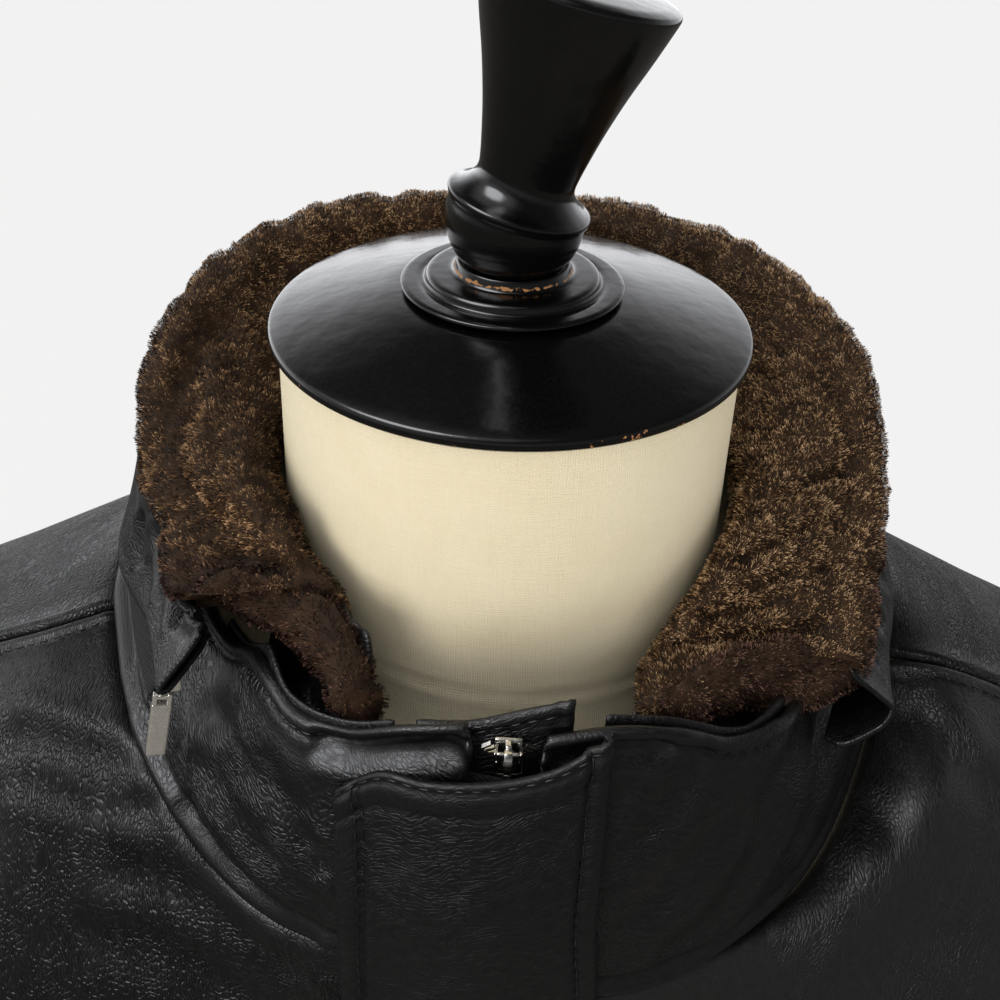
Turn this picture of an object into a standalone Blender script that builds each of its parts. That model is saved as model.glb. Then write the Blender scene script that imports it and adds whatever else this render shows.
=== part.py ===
"""A black leather jacket with a stand collar, a storm placket over a metal zip and a
fur-lined outer collar, worn by a limbless linen dress form on a round base.

X runs to the viewer's right, +Y to the back and +Z up. The origin is the middle of the
base, on the floor. The tables are in millimetres from the centre of the neck cap's rim.
"""
import math

import bmesh
import bpy
import numpy as np

MM = 0.001
CAP_HEIGHT = 1500.0        # floor to the rim of the neck cap
SEAM_GAP = 0.4             # between pieces that are sewn to each other
WALL = 2.0                 # body and sleeves, leather with its turned seams
COLLAR_WALL = 2.0          # stand collar
THIN_WALL = 1.5            # outer collar, facings and guard
ZIP_X = 3.5                # the front zip runs a little off the middle
ZIP_HALF_GAP = 3.5         # from the zip's middle to the edge of each front
ROUNDNESS = 2.25           # exponent of the body rings, 2 is an ellipse
RING_STEPS = 9             # columns of a front, or half of the back

CAP_RADIUS = 65.0
BASE_RADIUS = 190.0
BASE_THICKNESS = 16.0
POLE_RADIUS = 16.0
FINIAL_LEAN = math.radians(13.0)
FINIAL_PIVOT = 28.4        # height of the finial's ball above the cap's rim
BALL_RADIUS = 18.2
SEAT_RADIUS = 18.6         # the cup that the ball sits in
SEAT_RIM = 14.8

# The jacket's body: horizontal rings that dip towards the front. Each row is
# half width, front depth, back depth, height at front, at side and at back,
# and the half width at which the armhole cuts the ring (0 where it doesn't).
BODY_RINGS = (
    (140, 109.5, 103, -168, -104, -92, 0),      # yoke
    (165, 113, 108, -188, -113, -106, 0),
    (200, 118, 113, -210, -127, -126, 0),
    (234, 122, 117, -234, -141, -150, 0),       # shoulder point
    (237, 125, 119, -260, -178, -185, 224),
    (235, 127, 120, -288, -222, -228, 212),
    (230, 128, 119, -316, -280, -284, 212),
    (228, 128, 118, -334, -318, -319, 219),
    (226, 127, 117, -348, -346, -346, 0),       # underarm
    (224, 125, 116, -400, -400, -400, 0),
    (218, 121, 112, -490, -490, -490, 0),
    (214, 118, 110, -570, -570, -570, 0),       # waist
    (218, 120, 115, -660, -660, -660, 0),
    (224, 122, 120, -757, -757, -757, 0),       # hem
)
SHOULDER_ROW = 4           # row 0 is the neck seam
UNDERARM_ROW = 9
HEM_ROW = 14
SHOULDER_SEAM = math.radians(84)
SIDE_SEAM = math.radians(90)

# Neck seam, x, y, z, from the zip round the side to the middle of the back.
NECK_FRONT = {
    -1: ((0, -109, -146), (-22, -107.5, -141), (-43.5, -104, -134), (-55, -99, -133),
         (-70, -90, -130), (-84, -79, -122), (-97, -64, -113), (-108, -45, -107),
         (-118, -18, -101), (-122, 2, -97)),
    1: ((7, -109, -147), (24, -108, -148), (38, -106, -148), (50, -101.5, -146),
        (62, -96, -143), (73, -88.5, -141), (85, -78, -139), (98, -62, -134),
        (109, -42, -126), (118, -20, -114), (122, 0, -100)),
}
NECK_BACK = {
    -1: ((-122, 2, -97), (-118, 30, -92), (-102, 58, -88), (-75, 80, -85),
         (-40, 94, -83), (0, 98, -82)),
    1: ((122, 0, -100), (118, 30, -93), (102, 58, -88), (75, 80, -85),
        (40, 94, -83), (0, 98, -82)),
}
# Top edge of the stand collar, the same way round.
STAND_TOP = {
    -1: ((0, -96, -57), (-11, -95.8, -56.5), (-18, -95.3, -58), (-25, -94.3, -61.5),
         (-32, -92.3, -64.5), (-39.5, -89.3, -66.5), (-48, -84.3, -67.5),
         (-55.5, -76.5, -67), (-61, -64, -66), (-70, -51, -76), (-82, -30, -81),
         (-92, -5, -79), (-98, 15, -71), (-96, 37, -62), (-81, 65, -55),
         (-46, 86, -52), (0, 92, -51)),
    1: ((7, -96, -60), (15, -95.5, -59.5), (25, -94.3, -58), (43.5, -91.5, -60.5),
        (54, -89.3, -64.5), (62, -86, -68), (69, -81, -68.5), (76, -72, -69),
        (84, -54, -79), (94, -31, -85), (101, -6, -80), (103, 15, -71),
        (98, 37, -62), (82, 65, -55), (46, 86, -52), (0, 92, -51)),
}
STAND_BULGE = 4.0          # how far the stand swells out between its seams
# Facing of the stand: drop where it hangs straight, and reach in and drop where it
# turns back under the fur as a trough.
FACING_ROWS = ((6, 0.8, 7), (11, 1.6, 14), (15, 4.0, 20), (19, 7.5, 23), (23, 11.0, 23.5))

# Fur lining of the outer collar: a thick ribbon, whose round edges have their centres
# on two lines. x, y, z of the inner line, x, y, z of the outer line, half thickness.
# Each side runs from the middle of the back to the tip behind the stand collar.
FUR_ROWS = {
    -1: ((0, 75, -58, 0, 88, -8, 8.0), (-30, 70, -58, -33, 84, -8, 8.0),
         (-52, 56, -57, -62, 71, -9, 8.0), (-66.5, 36, -54, -86, 50, -16, 8.0),
         (-74, 14, -52, -100, 25, -30, 8.0), (-75, -8, -55, -101, 0, -51, 8.0),
         (-70.5, -26, -59, -92, -22, -59, 8.0), (-63, -42, -60, -80, -49, -60, 8.4),
         (-54, -54, -58.5, -66, -56, -57.5, 8.8), (-46.5, -63, -59.5, -54, -65, -58.5, 8.4),
         (-39, -72.5, -61.5, -42.5, -73.5, -61.5, 7.4), (-32.5, -80, -63, -34.5, -80.5, -64, 6.2)),
    1: ((0, 75, -58, 0, 88, -8, 8.0), (30, 70, -58, 35, 83, -8, 8.0),
        (52, 56, -57, 64, 70, -11, 8.0), (67, 36, -54, 88, 50, -19, 8.0),
        (74.5, 13, -49, 102, 25, -31, 8.0), (73.5, -14, -52, 103, 0, -49, 8.0),
        (66.5, -36, -57, 98, -22, -56, 8.0), (57.5, -50, -60, 91, -44, -63, 8.0),
        (50, -59, -63, 82, -57, -66, 8.0), (45, -66, -64, 68, -62, -62, 7.6),
        (41, -73, -65, 54, -70, -62, 6.8), (38, -79.5, -66, 43, -78.5, -64, 5.8)),
}
FUR_CORNER_ROW = {-1: 7, 1: 8}         # where the outer line turns in along the end
LEAF_CLEARANCE = 2.3                   # from the fur to the outer collar's face
# Lower edge of the outer collar leather, from its front end to the middle of the back.
LEAF_BOTTOM = {
    -1: ((-93, -60, -80), (-103, -36, -83), (-116, -10, -85), (-121, 12, -83),
         (-116.5, 39, -76), (-99, 66, -67), (-64, 90, -60), (0, 103, -56)),
    1: ((106, -62, -83), (112, -37, -86), (120.5, -10, -86), (123, 12, -83),
        (117, 39, -76), (100, 66, -67), (64, 90, -60), (0, 103, -56)),
}
# Turned-under hem of that lower edge at the front end: inwards, up, for each step.
LEAF_RETURN = {-1: ((2.0, -3.4), (6.4, -3.2), (8.2, 2.0), (8.6, 14.0)),
               1: ((1.6, -4.4), (5.0, -8.0), (9.0, -11.0), (12.5, -13.4))}
LEAF_RETURN_BACK = ((0.9, -1.6), (2.2, -1.9), (3.3, -0.4), (3.6, 3.0))

# Sleeves: x and z of the outer line, x and z of the line next to the body,
# half depth from front to back, and y of the middle.
SLEEVE_RINGS = (
    (256, -157, 228.5, -348, 70, 0), (278, -190, 229.5, -350, 74, 0),
    (294, -238, 230.5, -354, 77, -1), (304, -292, 231.5, -365, 79, -2),
    (311, -356, 233.5, -395, 79, -4), (315, -440, 237, -446, 76, -8),
    (316, -545, 243, -548, 68, -14), (317, -660, 250, -661, 60, -22),
    (316, -778, 256, -778, 52, -30),
)

# Dress form above the shoulders: half width, front and back depth, heights.
FORM_NECK = (
    (62.3, 62.3, 62.3, -3.4, -3.4, -3.4), (63.2, 63.2, 63.2, -45, -45, -45),
    (64.6, 64.6, 64.6, -74, -74, -74), (67, 67, 67, -90, -87, -84),
    (76, 73, 73, -102, -95, -91), (95, 85, 83, -126, -106, -101),
)
# Inset of the form below the jacket's face for each body ring: over the
# shoulder, and at the middle of the front and back.
FORM_INSETS = ((4.6, 9), (3.8, 10), (3.2, 10), (3.2, 11), (7, 12), (9, 13), (9, 14), (9, 15),
               (9, 15), (11, 16), (15, 18), (18, 20), (18, 20), (20, 22), (22, 24))
FORM_SHOULDER_PLATE = 219.0
FORM_LOWER = ((206, 104, 100, -800), (198, 98, 96, -836), (186, 90, 90, -850))

# Placket over the zip: x of its free edge and sewn edge at the top and below.
PLACKET_LEFT = -38.0
PLACKET_RIGHT_TOP = 28.0
PLACKET_RIGHT = 35.0
PLACKET_LIFT = 7.4         # highest over the zip, to its outer face
PLACKET_EDGE_LIFT = 3.0    # at its edges
PLACKET_WALL = 2.2
PLACKET_TOP = ((-38, -79), (-33, -74), (-27, -71.5), (-12, -72), (2, -71.5), (12, -69),
               (20, -64), (28, -58))      # x, height of the top edge

COLLAR_ZIP_START = {-1: 0.3, 1: 0.4}     # shares of the stand's length
TAPE_LIFT = 1.35                      # the tape's outer face above the stand
COLLAR_SLIDER = (-86.0, -62.9, -78.1)
PULL_TOP = (-88.0, -65.2, -83.6)      # the bar pull's pin
PULL_LENGTH = 21.5
PULL_WIDTH = 5.4
PULL_THICKNESS = 2.2
PULL_SLANT = math.radians(12.5)       # it lies on the slope of the collar

scene_objects = list(bpy.data.objects)
for old in scene_objects:
    bpy.data.objects.remove(old, do_unlink=True)

jacket = bpy.data.collections.new("leather_jacket_on_dress_form")
bpy.context.scene.collection.children.link(jacket)


# ---------------------------------------------------------------- materials
def material(name, color, roughness, metallic=0.0):
    made = bpy.data.materials.new(name)
    made.use_nodes = True
    shader = made.node_tree.nodes["Principled BSDF"]
    shader.inputs["Base Color"].default_value = (*color, 1.0)
    shader.inputs["Roughness"].default_value = roughness
    shader.inputs["Metallic"].default_value = metallic
    return made


LEATHER = material("black_leather", (0.012, 0.012, 0.013), 0.42)
FUR = material("brown_fur", (0.10, 0.055, 0.03), 0.95)
LINEN = material("cream_linen", (0.76, 0.68, 0.48), 0.9)
LACQUER = material("black_lacquer", (0.006, 0.006, 0.006), 0.15)
STEEL = material("bright_metal", (0.72, 0.70, 0.66), 0.25, 1.0)
TAPE = material("zip_tape", (0.01, 0.01, 0.01), 0.85)
IRON = material("base_iron", (0.02, 0.02, 0.022), 0.45, 0.6)


# ---------------------------------------------------------------- curves and grids
def world(points):
    """Millimetres from the cap's rim to metres from the floor."""
    points = np.asarray(points, float)
    return (points + np.array([0.0, 0.0, CAP_HEIGHT])) * MM


def smooth_rows(table, places):
    """Catmull-Rom through the rows of a table, read at fractional row numbers."""
    table = np.asarray(table, float)
    last = len(table) - 1
    out = []
    for place in places:
        row = min(int(place), last - 1)
        t = place - row
        before = table[max(row - 1, 0)]
        start, end = table[row], table[row + 1]
        after = table[min(row + 2, last)]
        out.append(0.5 * (2 * start + (end - before) * t
                          + (2 * before - 5 * start + 4 * end - after) * t * t
                          + (3 * start - before - 3 * end + after) * t ** 3))
    return np.array(out)


def along(points, shares):
    """Points at shares of the length of a smooth curve through the given points."""
    dense = smooth_rows(points, np.linspace(0, len(points) - 1, 20 * len(points)))
    steps = np.linalg.norm(np.diff(dense, axis=0), axis=1)
    length = np.concatenate([[0.0], np.cumsum(steps)])
    length /= length[-1]
    return np.stack([np.interp(shares, length, dense[:, i]) for i in range(3)], axis=1)


def normals(grid, closed=False):
    """Unit normals of a grid of points, rows by columns."""
    if closed:
        across = np.roll(grid, -1, axis=1) - np.roll(grid, 1, axis=1)
    else:
        across = np.gradient(grid, axis=1)
    down = np.gradient(grid, axis=0)
    cross = np.cross(across, down)
    return cross / np.maximum(np.linalg.norm(cross, axis=2, keepdims=True), 1e-9)


def facing_out(grid, closed=False):
    """Normals turned away from the neck's axis, and whether they had to be turned."""
    found = normals(grid, closed)
    middle = grid.reshape(-1, 3).mean(axis=0) * np.array([0.0, 0.0, 1.0])
    turned = (found * (grid - middle)).sum() < 0
    return (-found if turned else found), turned


def put(name, mesh, finish, smooth=True):
    obj = bpy.data.objects.new(name, mesh)
    mesh.materials.append(finish)
    jacket.objects.link(obj)
    if smooth:
        mesh.shade_smooth()
        mesh.set_sharp_from_angle(angle=math.radians(50))
    return obj


def grid_mesh(name, grid, closed=False, flip=False):
    """An open surface of quads through a grid of points."""
    rows, columns = grid.shape[:2]
    shape = bmesh.new()
    points = [[shape.verts.new(p) for p in row] for row in world(grid)]
    for i in range(rows - 1):
        for j in range(columns if closed else columns - 1):
            k = (j + 1) % columns
            face = [points[i][j], points[i][k], points[i + 1][k], points[i + 1][j]]
            shape.faces.new(face[::-1] if flip else face)
    mesh = bpy.data.meshes.new(name)
    shape.to_mesh(mesh)
    shape.free()
    return mesh


def cloth(name, grid, thickness, finish=None, closed=False, centre=None, even=True):
    """A sheet with its outer face on the grid and its thickness inwards."""
    if centre is None:
        _, turned = facing_out(grid, closed)
    else:
        found = normals(grid, closed)
        turned = (found * (grid - centre)).sum() < 0
    obj = put(name, grid_mesh(name, grid, closed, flip=turned), finish or LEATHER)
    shell = obj.modifiers.new("wall", "SOLIDIFY")
    shell.thickness = thickness * MM
    shell.offset = -1.0
    shell.use_even_offset = even
    return obj


def loft(name, sections, finish):
    """A closed body through closed sections with the same number of points."""
    shape = bmesh.new()
    rings = [[shape.verts.new(p) for p in section] for section in world(sections)]
    count = len(rings[0])
    for lower, upper in zip(rings, rings[1:]):
        for j in range(count):
            k = (j + 1) % count
            shape.faces.new([lower[j], lower[k], upper[k], upper[j]])
    shape.faces.new(rings[0][::-1])
    shape.faces.new(rings[-1])
    bmesh.ops.triangulate(shape, faces=[f for f in shape.faces if len(f.verts) > 4])
    bmesh.ops.recalc_face_normals(shape, faces=shape.faces)
    mesh = bpy.data.meshes.new(name)
    shape.to_mesh(mesh)
    shape.free()
    return put(name, mesh, finish)


def turned(name, profile, finish, steps=48, place=(0, 0, 0)):
    """A turned body: radius and height down its outer side, on the axis at both ends."""
    mesh = bpy.data.meshes.new(name)
    points = [(r * MM, 0.0, z * MM) for r, z in profile]
    mesh.from_pydata(points, [(i, i + 1) for i in range(len(points) - 1)], [])
    obj = put(name, mesh, finish, smooth=False)
    screw = obj.modifiers.new("turn", "SCREW")
    screw.steps = steps
    screw.render_steps = steps
    screw.use_merge_vertices = True
    screw.merge_threshold = 0.00001
    screw.use_smooth_shade = True
    obj.location = [c * MM for c in place]
    return obj


def block(name, size, place, finish, bevel=0.4, turn=0.0):
    """A box with rounded edges, turned about the upright axis."""
    shape = bmesh.new()
    bmesh.ops.create_cube(shape, size=1.0)
    bmesh.ops.scale(shape, verts=shape.verts, vec=[s * MM for s in size])
    mesh = bpy.data.meshes.new(name)
    shape.to_mesh(mesh)
    shape.free()
    obj = put(name, mesh, finish)
    edge = obj.modifiers.new("edge", "BEVEL")
    edge.width = bevel * MM
    edge.segments = 2
    obj.location = world(place)
    obj.rotation_euler = (0.0, 0.0, turn)
    return obj


# ---------------------------------------------------------------- the jacket's body
def neck_point(side, angles):
    """Points of the neck seam; the angle is 0 at the front, 90 at the side, 180 behind."""
    angles = np.degrees(angles)
    front = along(NECK_FRONT[side], np.clip(angles / 90, 0, 1))
    back = along(NECK_BACK[side], np.clip((angles - 90) / 90, 0, 1))
    return np.where((angles <= 90)[:, None], front, back)


def ring_point(side, ring, angles):
    """Points of one body ring, the angle running as at the neck."""
    half_width, front, back, z_front, z_side, z_back = ring[:6]
    sine, cosine = np.sin(angles), np.cos(angles)
    x = half_width * np.abs(sine) ** (2 / ROUNDNESS)
    depth = np.where(cosine >= 0, front, back)
    share = np.abs(cosine) ** (2 / ROUNDNESS)
    low = np.where(cosine >= 0, z_front, z_back)
    z = z_side + (low - z_side) * share ** 2
    return np.stack([side * x, -np.sign(cosine) * depth * share, z], axis=1)


def body_row(side, place, angles):
    """Points of the body at a fractional row, where row 0 is the neck seam."""
    angles = np.asarray(angles, float)
    if place < 1:
        top = neck_point(side, angles)
        under = ring_point(side, BODY_RINGS[0], angles)
        return top + (under - top) * place
    ring = smooth_rows(BODY_RINGS, [place - 1])[0]
    return ring_point(side, ring, angles)


def angle_at(place, x):
    """The angle at which a body row reaches a half width."""
    ring = smooth_rows(BODY_RINGS, [max(place - 1, 0)])[0]
    return math.asin(min((abs(x) / ring[0]) ** (ROUNDNESS / 2), 1.0))


def armhole_angle(place):
    """The angle where the armhole cuts a row, between shoulder and underarm."""
    table = [(SHOULDER_SEAM,)] + [
        (angle_at(row, BODY_RINGS[row - 1][6]),)
        for row in range(SHOULDER_ROW + 1, UNDERARM_ROW)] + [(SIDE_SEAM,)]
    return float(smooth_rows(table, [place - SHOULDER_ROW])[0][0])


def end_angle(place):
    """Where a front ends: the shoulder seam, the armhole or the side seam."""
    if place <= SHOULDER_ROW:
        return SHOULDER_SEAM
    if place < UNDERARM_ROW:
        return armhole_angle(place)
    return SIDE_SEAM


# Rows of the panels, closer together round the armhole
BODY_PLACES = ([0, 1, 2, 3] + [SHOULDER_ROW + k / 2 for k in range(0, 11)]
               + [10, 11, 12, 13, 14])


def front_grid(side):
    rows = []
    for place in BODY_PLACES:
        edge = ZIP_X * side + ZIP_HALF_GAP
        start = angle_at(place, edge) if edge > 0 else 0.0
        end = end_angle(place) - seam_angle(place)
        rows.append(body_row(side, place, np.linspace(start, end, RING_STEPS + 1)))
    return np.array(rows)


def seam_angle(place):
    """Half of the gap at the side of a panel, as an angle; the ridge needs more."""
    gap = SEAM_GAP * (2.2 if place <= SHOULDER_ROW else 1.0)
    ring = smooth_rows(BODY_RINGS, [max(place - 1, 0)])[0]
    return 0.5 * gap / (0.5 * (ring[1] + ring[2]))


def back_grid():
    rows = []
    for place in BODY_PLACES:
        end = end_angle(place)
        low = math.pi - end if SHOULDER_ROW < place < UNDERARM_ROW else end
        low += seam_angle(place)
        right = body_row(1, place, np.linspace(math.pi, low, RING_STEPS + 1))
        left = body_row(-1, place, np.linspace(low, math.pi, RING_STEPS + 1))
        rows.append(np.concatenate([left, right[1:]]))
    return np.array(rows)


def armhole_loop(side):
    """The armhole's edge from the shoulder down its front and up its back."""
    places = [SHOULDER_ROW + k / 2 for k in range(0, 11)]
    front = [body_row(side, p, [end_angle(p)])[0] for p in places]
    back = [body_row(side, p, [math.pi - armhole_angle(p)])[0] for p in places[1:-1]]
    loop = np.array(front + back[::-1])
    loop[:, 0] += side * 1.5 * SEAM_GAP
    return loop


def sleeve_grid(side):
    """Rings from the armhole down to the cuff; the body's side is in the middle."""
    first = armhole_loop(side)
    turn = np.linspace(0, 2 * np.pi, len(first), endpoint=False)
    rings = [first]
    for out_x, out_z, in_x, in_z, depth, middle in SLEEVE_RINGS:
        x = (out_x + in_x) / 2 + (out_x - in_x) / 2 * np.cos(turn)
        z = (out_z + in_z) / 2 + (out_z - in_z) / 2 * np.cos(turn)
        y = middle - depth * np.sin(turn)
        rings.append(np.stack([side * x, y, z], axis=1))
    return np.array(rings)


for side, name in ((-1, "front_right"), (1, "front_left")):
    cloth(name, front_grid(side), WALL)
cloth("back", back_grid(), WALL)
for side, name in ((-1, "sleeve_right"), (1, "sleeve_left")):
    tube = sleeve_grid(side)
    cloth(name, tube, WALL, closed=True, centre=tube.mean(axis=1, keepdims=True))


# ---------------------------------------------------------------- stand collar
def stand_grid(side, shares, heights):
    """Stand collar from the neck seam (height 0) to its top edge (height 1)."""
    bottom = np.concatenate([np.array(NECK_FRONT[side], float),
                             np.array(NECK_BACK[side], float)[1:]])
    low = along(bottom, shares)
    top = along(STAND_TOP[side], shares)
    run = np.gradient(low + top, axis=0)
    out = np.stack([run[:, 1], -run[:, 0], np.zeros(len(run))], axis=1)
    out /= np.linalg.norm(out, axis=1, keepdims=True)
    middle = low + top
    out *= np.sign((out * middle * np.array([1, 1, 0])).sum())
    rows = []
    for height in heights:
        swell = STAND_BULGE * math.sin(math.pi * height)
        rows.append(low + (top - low) * height + out * swell)
    return np.array(rows)


STAND_SHARES = np.linspace(0.0, 1.0, 21)
STAND_HEIGHTS = (0.024, 0.25, 0.5, 0.75, 1.0)
BACK_SHARE = 1.0 - 0.0008              # half a seam gap at the middle of the back
for side, name in ((-1, "stand_right"), (1, "stand_left")):
    cloth(name, stand_grid(side, STAND_SHARES * BACK_SHARE, STAND_HEIGHTS), COLLAR_WALL)


def facing_grid(side):
    """Facing inside the stand's top, which turns back under the fur as a trough."""
    first, last = (0.062, 0.2) if side < 0 else (0.047, 0.285)
    shares = np.linspace(first, last, 11)
    outer = stand_grid(side, shares, (0.75, 0.88, 1.0))
    inwards = -facing_out(outer)[0] * np.array([1, 1, 0])
    inwards /= np.linalg.norm(inwards, axis=2, keepdims=True)
    inset = COLLAR_WALL + 0.9
    top = outer[2] + inwards[2] * inset + np.array([0, 0, 1.6])
    reach = np.clip((np.abs(top[:, 0]) - 30) / 16, 0, 1)[:, None]
    rows = [top]
    for straight, inward, drop in FACING_ROWS:
        along_in = 1.0 + (inward - 1.0) * reach
        down = straight + (drop - straight) * reach
        rows.append(top + inwards[2] * along_in - down * np.array([0.0, 0.0, 1.0]))
    return np.array(rows)


for side, name in ((-1, "facing_right"), (1, "facing_left")):
    cloth(name, facing_grid(side), THIN_WALL, even=False)


# ---------------------------------------------------------------- fur and outer collar
def fur_sections(side, places, points=14):
    rows = smooth_rows(FUR_ROWS[side], places)
    inner, outer, radius = rows[:, :3], rows[:, 3:6], rows[:, 6]
    run = np.gradient((inner + outer) / 2, axis=0)
    run[0] = (side * 1.0, 0.0, 0.0)
    across = outer - inner
    across /= np.linalg.norm(across, axis=1, keepdims=True)
    normal = np.cross(across, run)
    normal /= np.linalg.norm(normal, axis=1, keepdims=True)
    half = points // 2
    turn = np.linspace(-np.pi / 2, np.pi / 2, half)
    sections = []
    for i in range(len(rows)):
        round_outer = [outer[i] + radius[i] * (across[i] * math.cos(a) + normal[i] * math.sin(a))
                       for a in turn]
        round_inner = [inner[i] - radius[i] * (across[i] * math.cos(a) + normal[i] * math.sin(a))
                       for a in turn]
        sections.append(round_outer + round_inner)
    return np.array(sections)


def fur_places(side):
    places = list(np.linspace(0, len(FUR_ROWS[side]) - 1, 23))
    places[0] = 0.006
    return places


for side, name in ((-1, "fur_right"), (1, "fur_left")):
    loft(name, fur_sections(side, fur_places(side)), FUR)


def leaf_grid(side):
    """Outer collar leather: outside the fur, down to a lower edge that turns under."""
    corner = FUR_CORNER_ROW[side]
    places = np.linspace(corner, 0.014, 17)
    rows = smooth_rows(FUR_ROWS[side], places)
    outer, radius = rows[:, 3:6], rows[:, 6:7]
    bottom = along(LEAF_BOTTOM[side], np.linspace(0, 1 - 0.0022, len(places)))
    run = np.gradient(outer + bottom, axis=0) * np.array([1, 1, 0])
    out = np.stack([run[:, 1], -run[:, 0], np.zeros(len(run))], axis=1)
    out[-1] = (0.0, 1.0, 0.0)
    out /= np.linalg.norm(out, axis=1, keepdims=True)
    out[:-1] *= np.sign((out[:-1] * outer[:-1]).sum())
    up = np.array([0.0, 0.0, 1.0])
    reach = radius + LEAF_CLEARANCE
    front = np.zeros_like(outer)
    front[:, 1] = -6.0 * np.clip(1 - np.arange(len(places)) / 2.0, 0, 1)
    top = outer + out * reach + up * 4.0 + front
    belly = outer + out * (reach + 0.5) - up * 8.0 + front
    grid = [top, top + (belly - top) * 0.5, belly]
    for share in (0.35, 0.7, 1.0):
        grid.append(belly + (bottom - belly) * share)
    flat = np.linspace(0, 1, len(places))[:, None]
    turn_back = np.clip(flat * 3.2, 0, 1)
    for near, far in zip(LEAF_RETURN[side], LEAF_RETURN_BACK):
        inward = near[0] * (1 - turn_back) + far[0] * turn_back
        rise = near[1] * (1 - turn_back) + far[1] * turn_back
        grid.append(bottom - out * inward + up * rise)
    return np.array(grid)


for side, name in ((-1, "collar_right"), (1, "collar_left")):
    leaf = leaf_grid(side)
    cloth(name, leaf, THIN_WALL, even=False,
          centre=leaf.mean(axis=0, keepdims=True) * np.array([0.9, 0.9, 1.0]))


# ---------------------------------------------------------------- collar zip
def collar_zip_grid(side):
    """Tape of the collar zip, on the stand under the outer collar's lower edge."""
    shares = np.append(np.arange(COLLAR_ZIP_START[side], 0.99, STAND_SHARES[1]), 1 - 0.0016)
    base = stand_grid(side, shares, (0.38, 0.53, 0.68))
    return base + facing_out(base)[0] * TAPE_LIFT


for side, name in ((-1, "collar_zip_right"), (1, "collar_zip_left")):
    cloth(name, collar_zip_grid(side), 0.8, TAPE)

pull_turn = math.atan2(0.30, 0.95)      # the face looks a little to the viewer's right
block("collar_slider", (5.6, 4.2, 8.0), COLLAR_SLIDER, STEEL, bevel=0.8)

bar = bmesh.new()
bmesh.ops.create_cube(bar, size=1.0)
bmesh.ops.scale(bar, verts=bar.verts,
                vec=(PULL_WIDTH * MM, PULL_THICKNESS * MM, PULL_LENGTH * MM))
bmesh.ops.translate(bar, verts=bar.verts, vec=(0, 0, (1.0 - PULL_LENGTH / 2) * MM))
bar_mesh = bpy.data.meshes.new("bar_pull")
bar.to_mesh(bar_mesh)
bar.free()
bar_pull = put("bar_pull", bar_mesh, STEEL, smooth=False)
bar_edge = bar_pull.modifiers.new("edge", "BEVEL")
bar_edge.width = 0.7 * MM
bar_edge.segments = 1
bar_pull.location = world(PULL_TOP)
bar_pull.rotation_euler = (0.0, PULL_SLANT, pull_turn)


# ---------------------------------------------------------------- placket and front zip
def front_point(x, place):
    """A point of the jacket's front face: stand collar above row 0, body below it."""
    side = -1 if x < ZIP_X else 1
    if place < 0:
        shares = np.linspace(0, 0.3, 61)
        row = stand_grid(side, shares, (-place,))[0]
        reach = side * (row[:, 0] - ZIP_X)
        wanted = max(side * (x - ZIP_X), reach[0])
        return np.array([np.interp(wanted, reach, row[:, i]) for i in range(3)])
    edge = abs(x) if side * x > 0 else 0.0
    if place == 0:
        angles = np.linspace(0, 1.2, 80)
        row = body_row(side, 0, angles)
        reach = side * (row[:, 0] - ZIP_X)
        wanted = max(side * (x - ZIP_X), reach[0])
        return np.array([np.interp(wanted, reach, row[:, i]) for i in range(3)])
    return body_row(side, place, [angle_at(place, edge)])[0]


def strip_grid(columns, places, lift):
    """A strip on the front: each point is moved out along y by lift(x)."""
    rows = []
    for place in places:
        row = []
        for x in columns(place):
            point = front_point(x, place)
            point[0] = x
            point[1] -= lift(x, place)
            row.append(point)
        rows.append(row)
    return np.array(rows)


STRIP_PLACES = [-0.8, -0.6, -0.4, -0.2, 0.0] + [0.5] + list(range(1, HEM_ROW + 1))


def placket_columns(place):
    right = PLACKET_RIGHT_TOP if place < -0.4 else PLACKET_RIGHT
    if -0.4 <= place < 0.5:
        share = (place + 0.4) / 0.9
        right = PLACKET_RIGHT_TOP + (PLACKET_RIGHT - PLACKET_RIGHT_TOP) * share
    return np.linspace(PLACKET_LEFT, right, 7)


def placket_lift(x, place):
    middle = (x - ZIP_X) / (33.0 if x < ZIP_X else 27.0)
    rise = PLACKET_LIFT - PLACKET_EDGE_LIFT
    return PLACKET_EDGE_LIFT + rise * max(0.0, 1 - middle * middle)


def placket_grid():
    grid = strip_grid(placket_columns, STRIP_PLACES, placket_lift)
    top = grid[0].copy()
    heights = np.interp(top[:, 0], [p[0] for p in PLACKET_TOP], [p[1] for p in PLACKET_TOP])
    slope = (grid[0, :, 1] - grid[1, :, 1]) / (grid[0, :, 2] - grid[1, :, 2])
    top[:, 1] += slope * (heights - top[:, 2])
    top[:, 2] = heights
    return np.concatenate([top[None], grid[1:]])


cloth("placket", placket_grid(), PLACKET_WALL, centre=np.array([0.0, 0.0, -400.0]))


def constant_columns(low, high, count):
    return lambda place: np.linspace(low, high, count)


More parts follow.
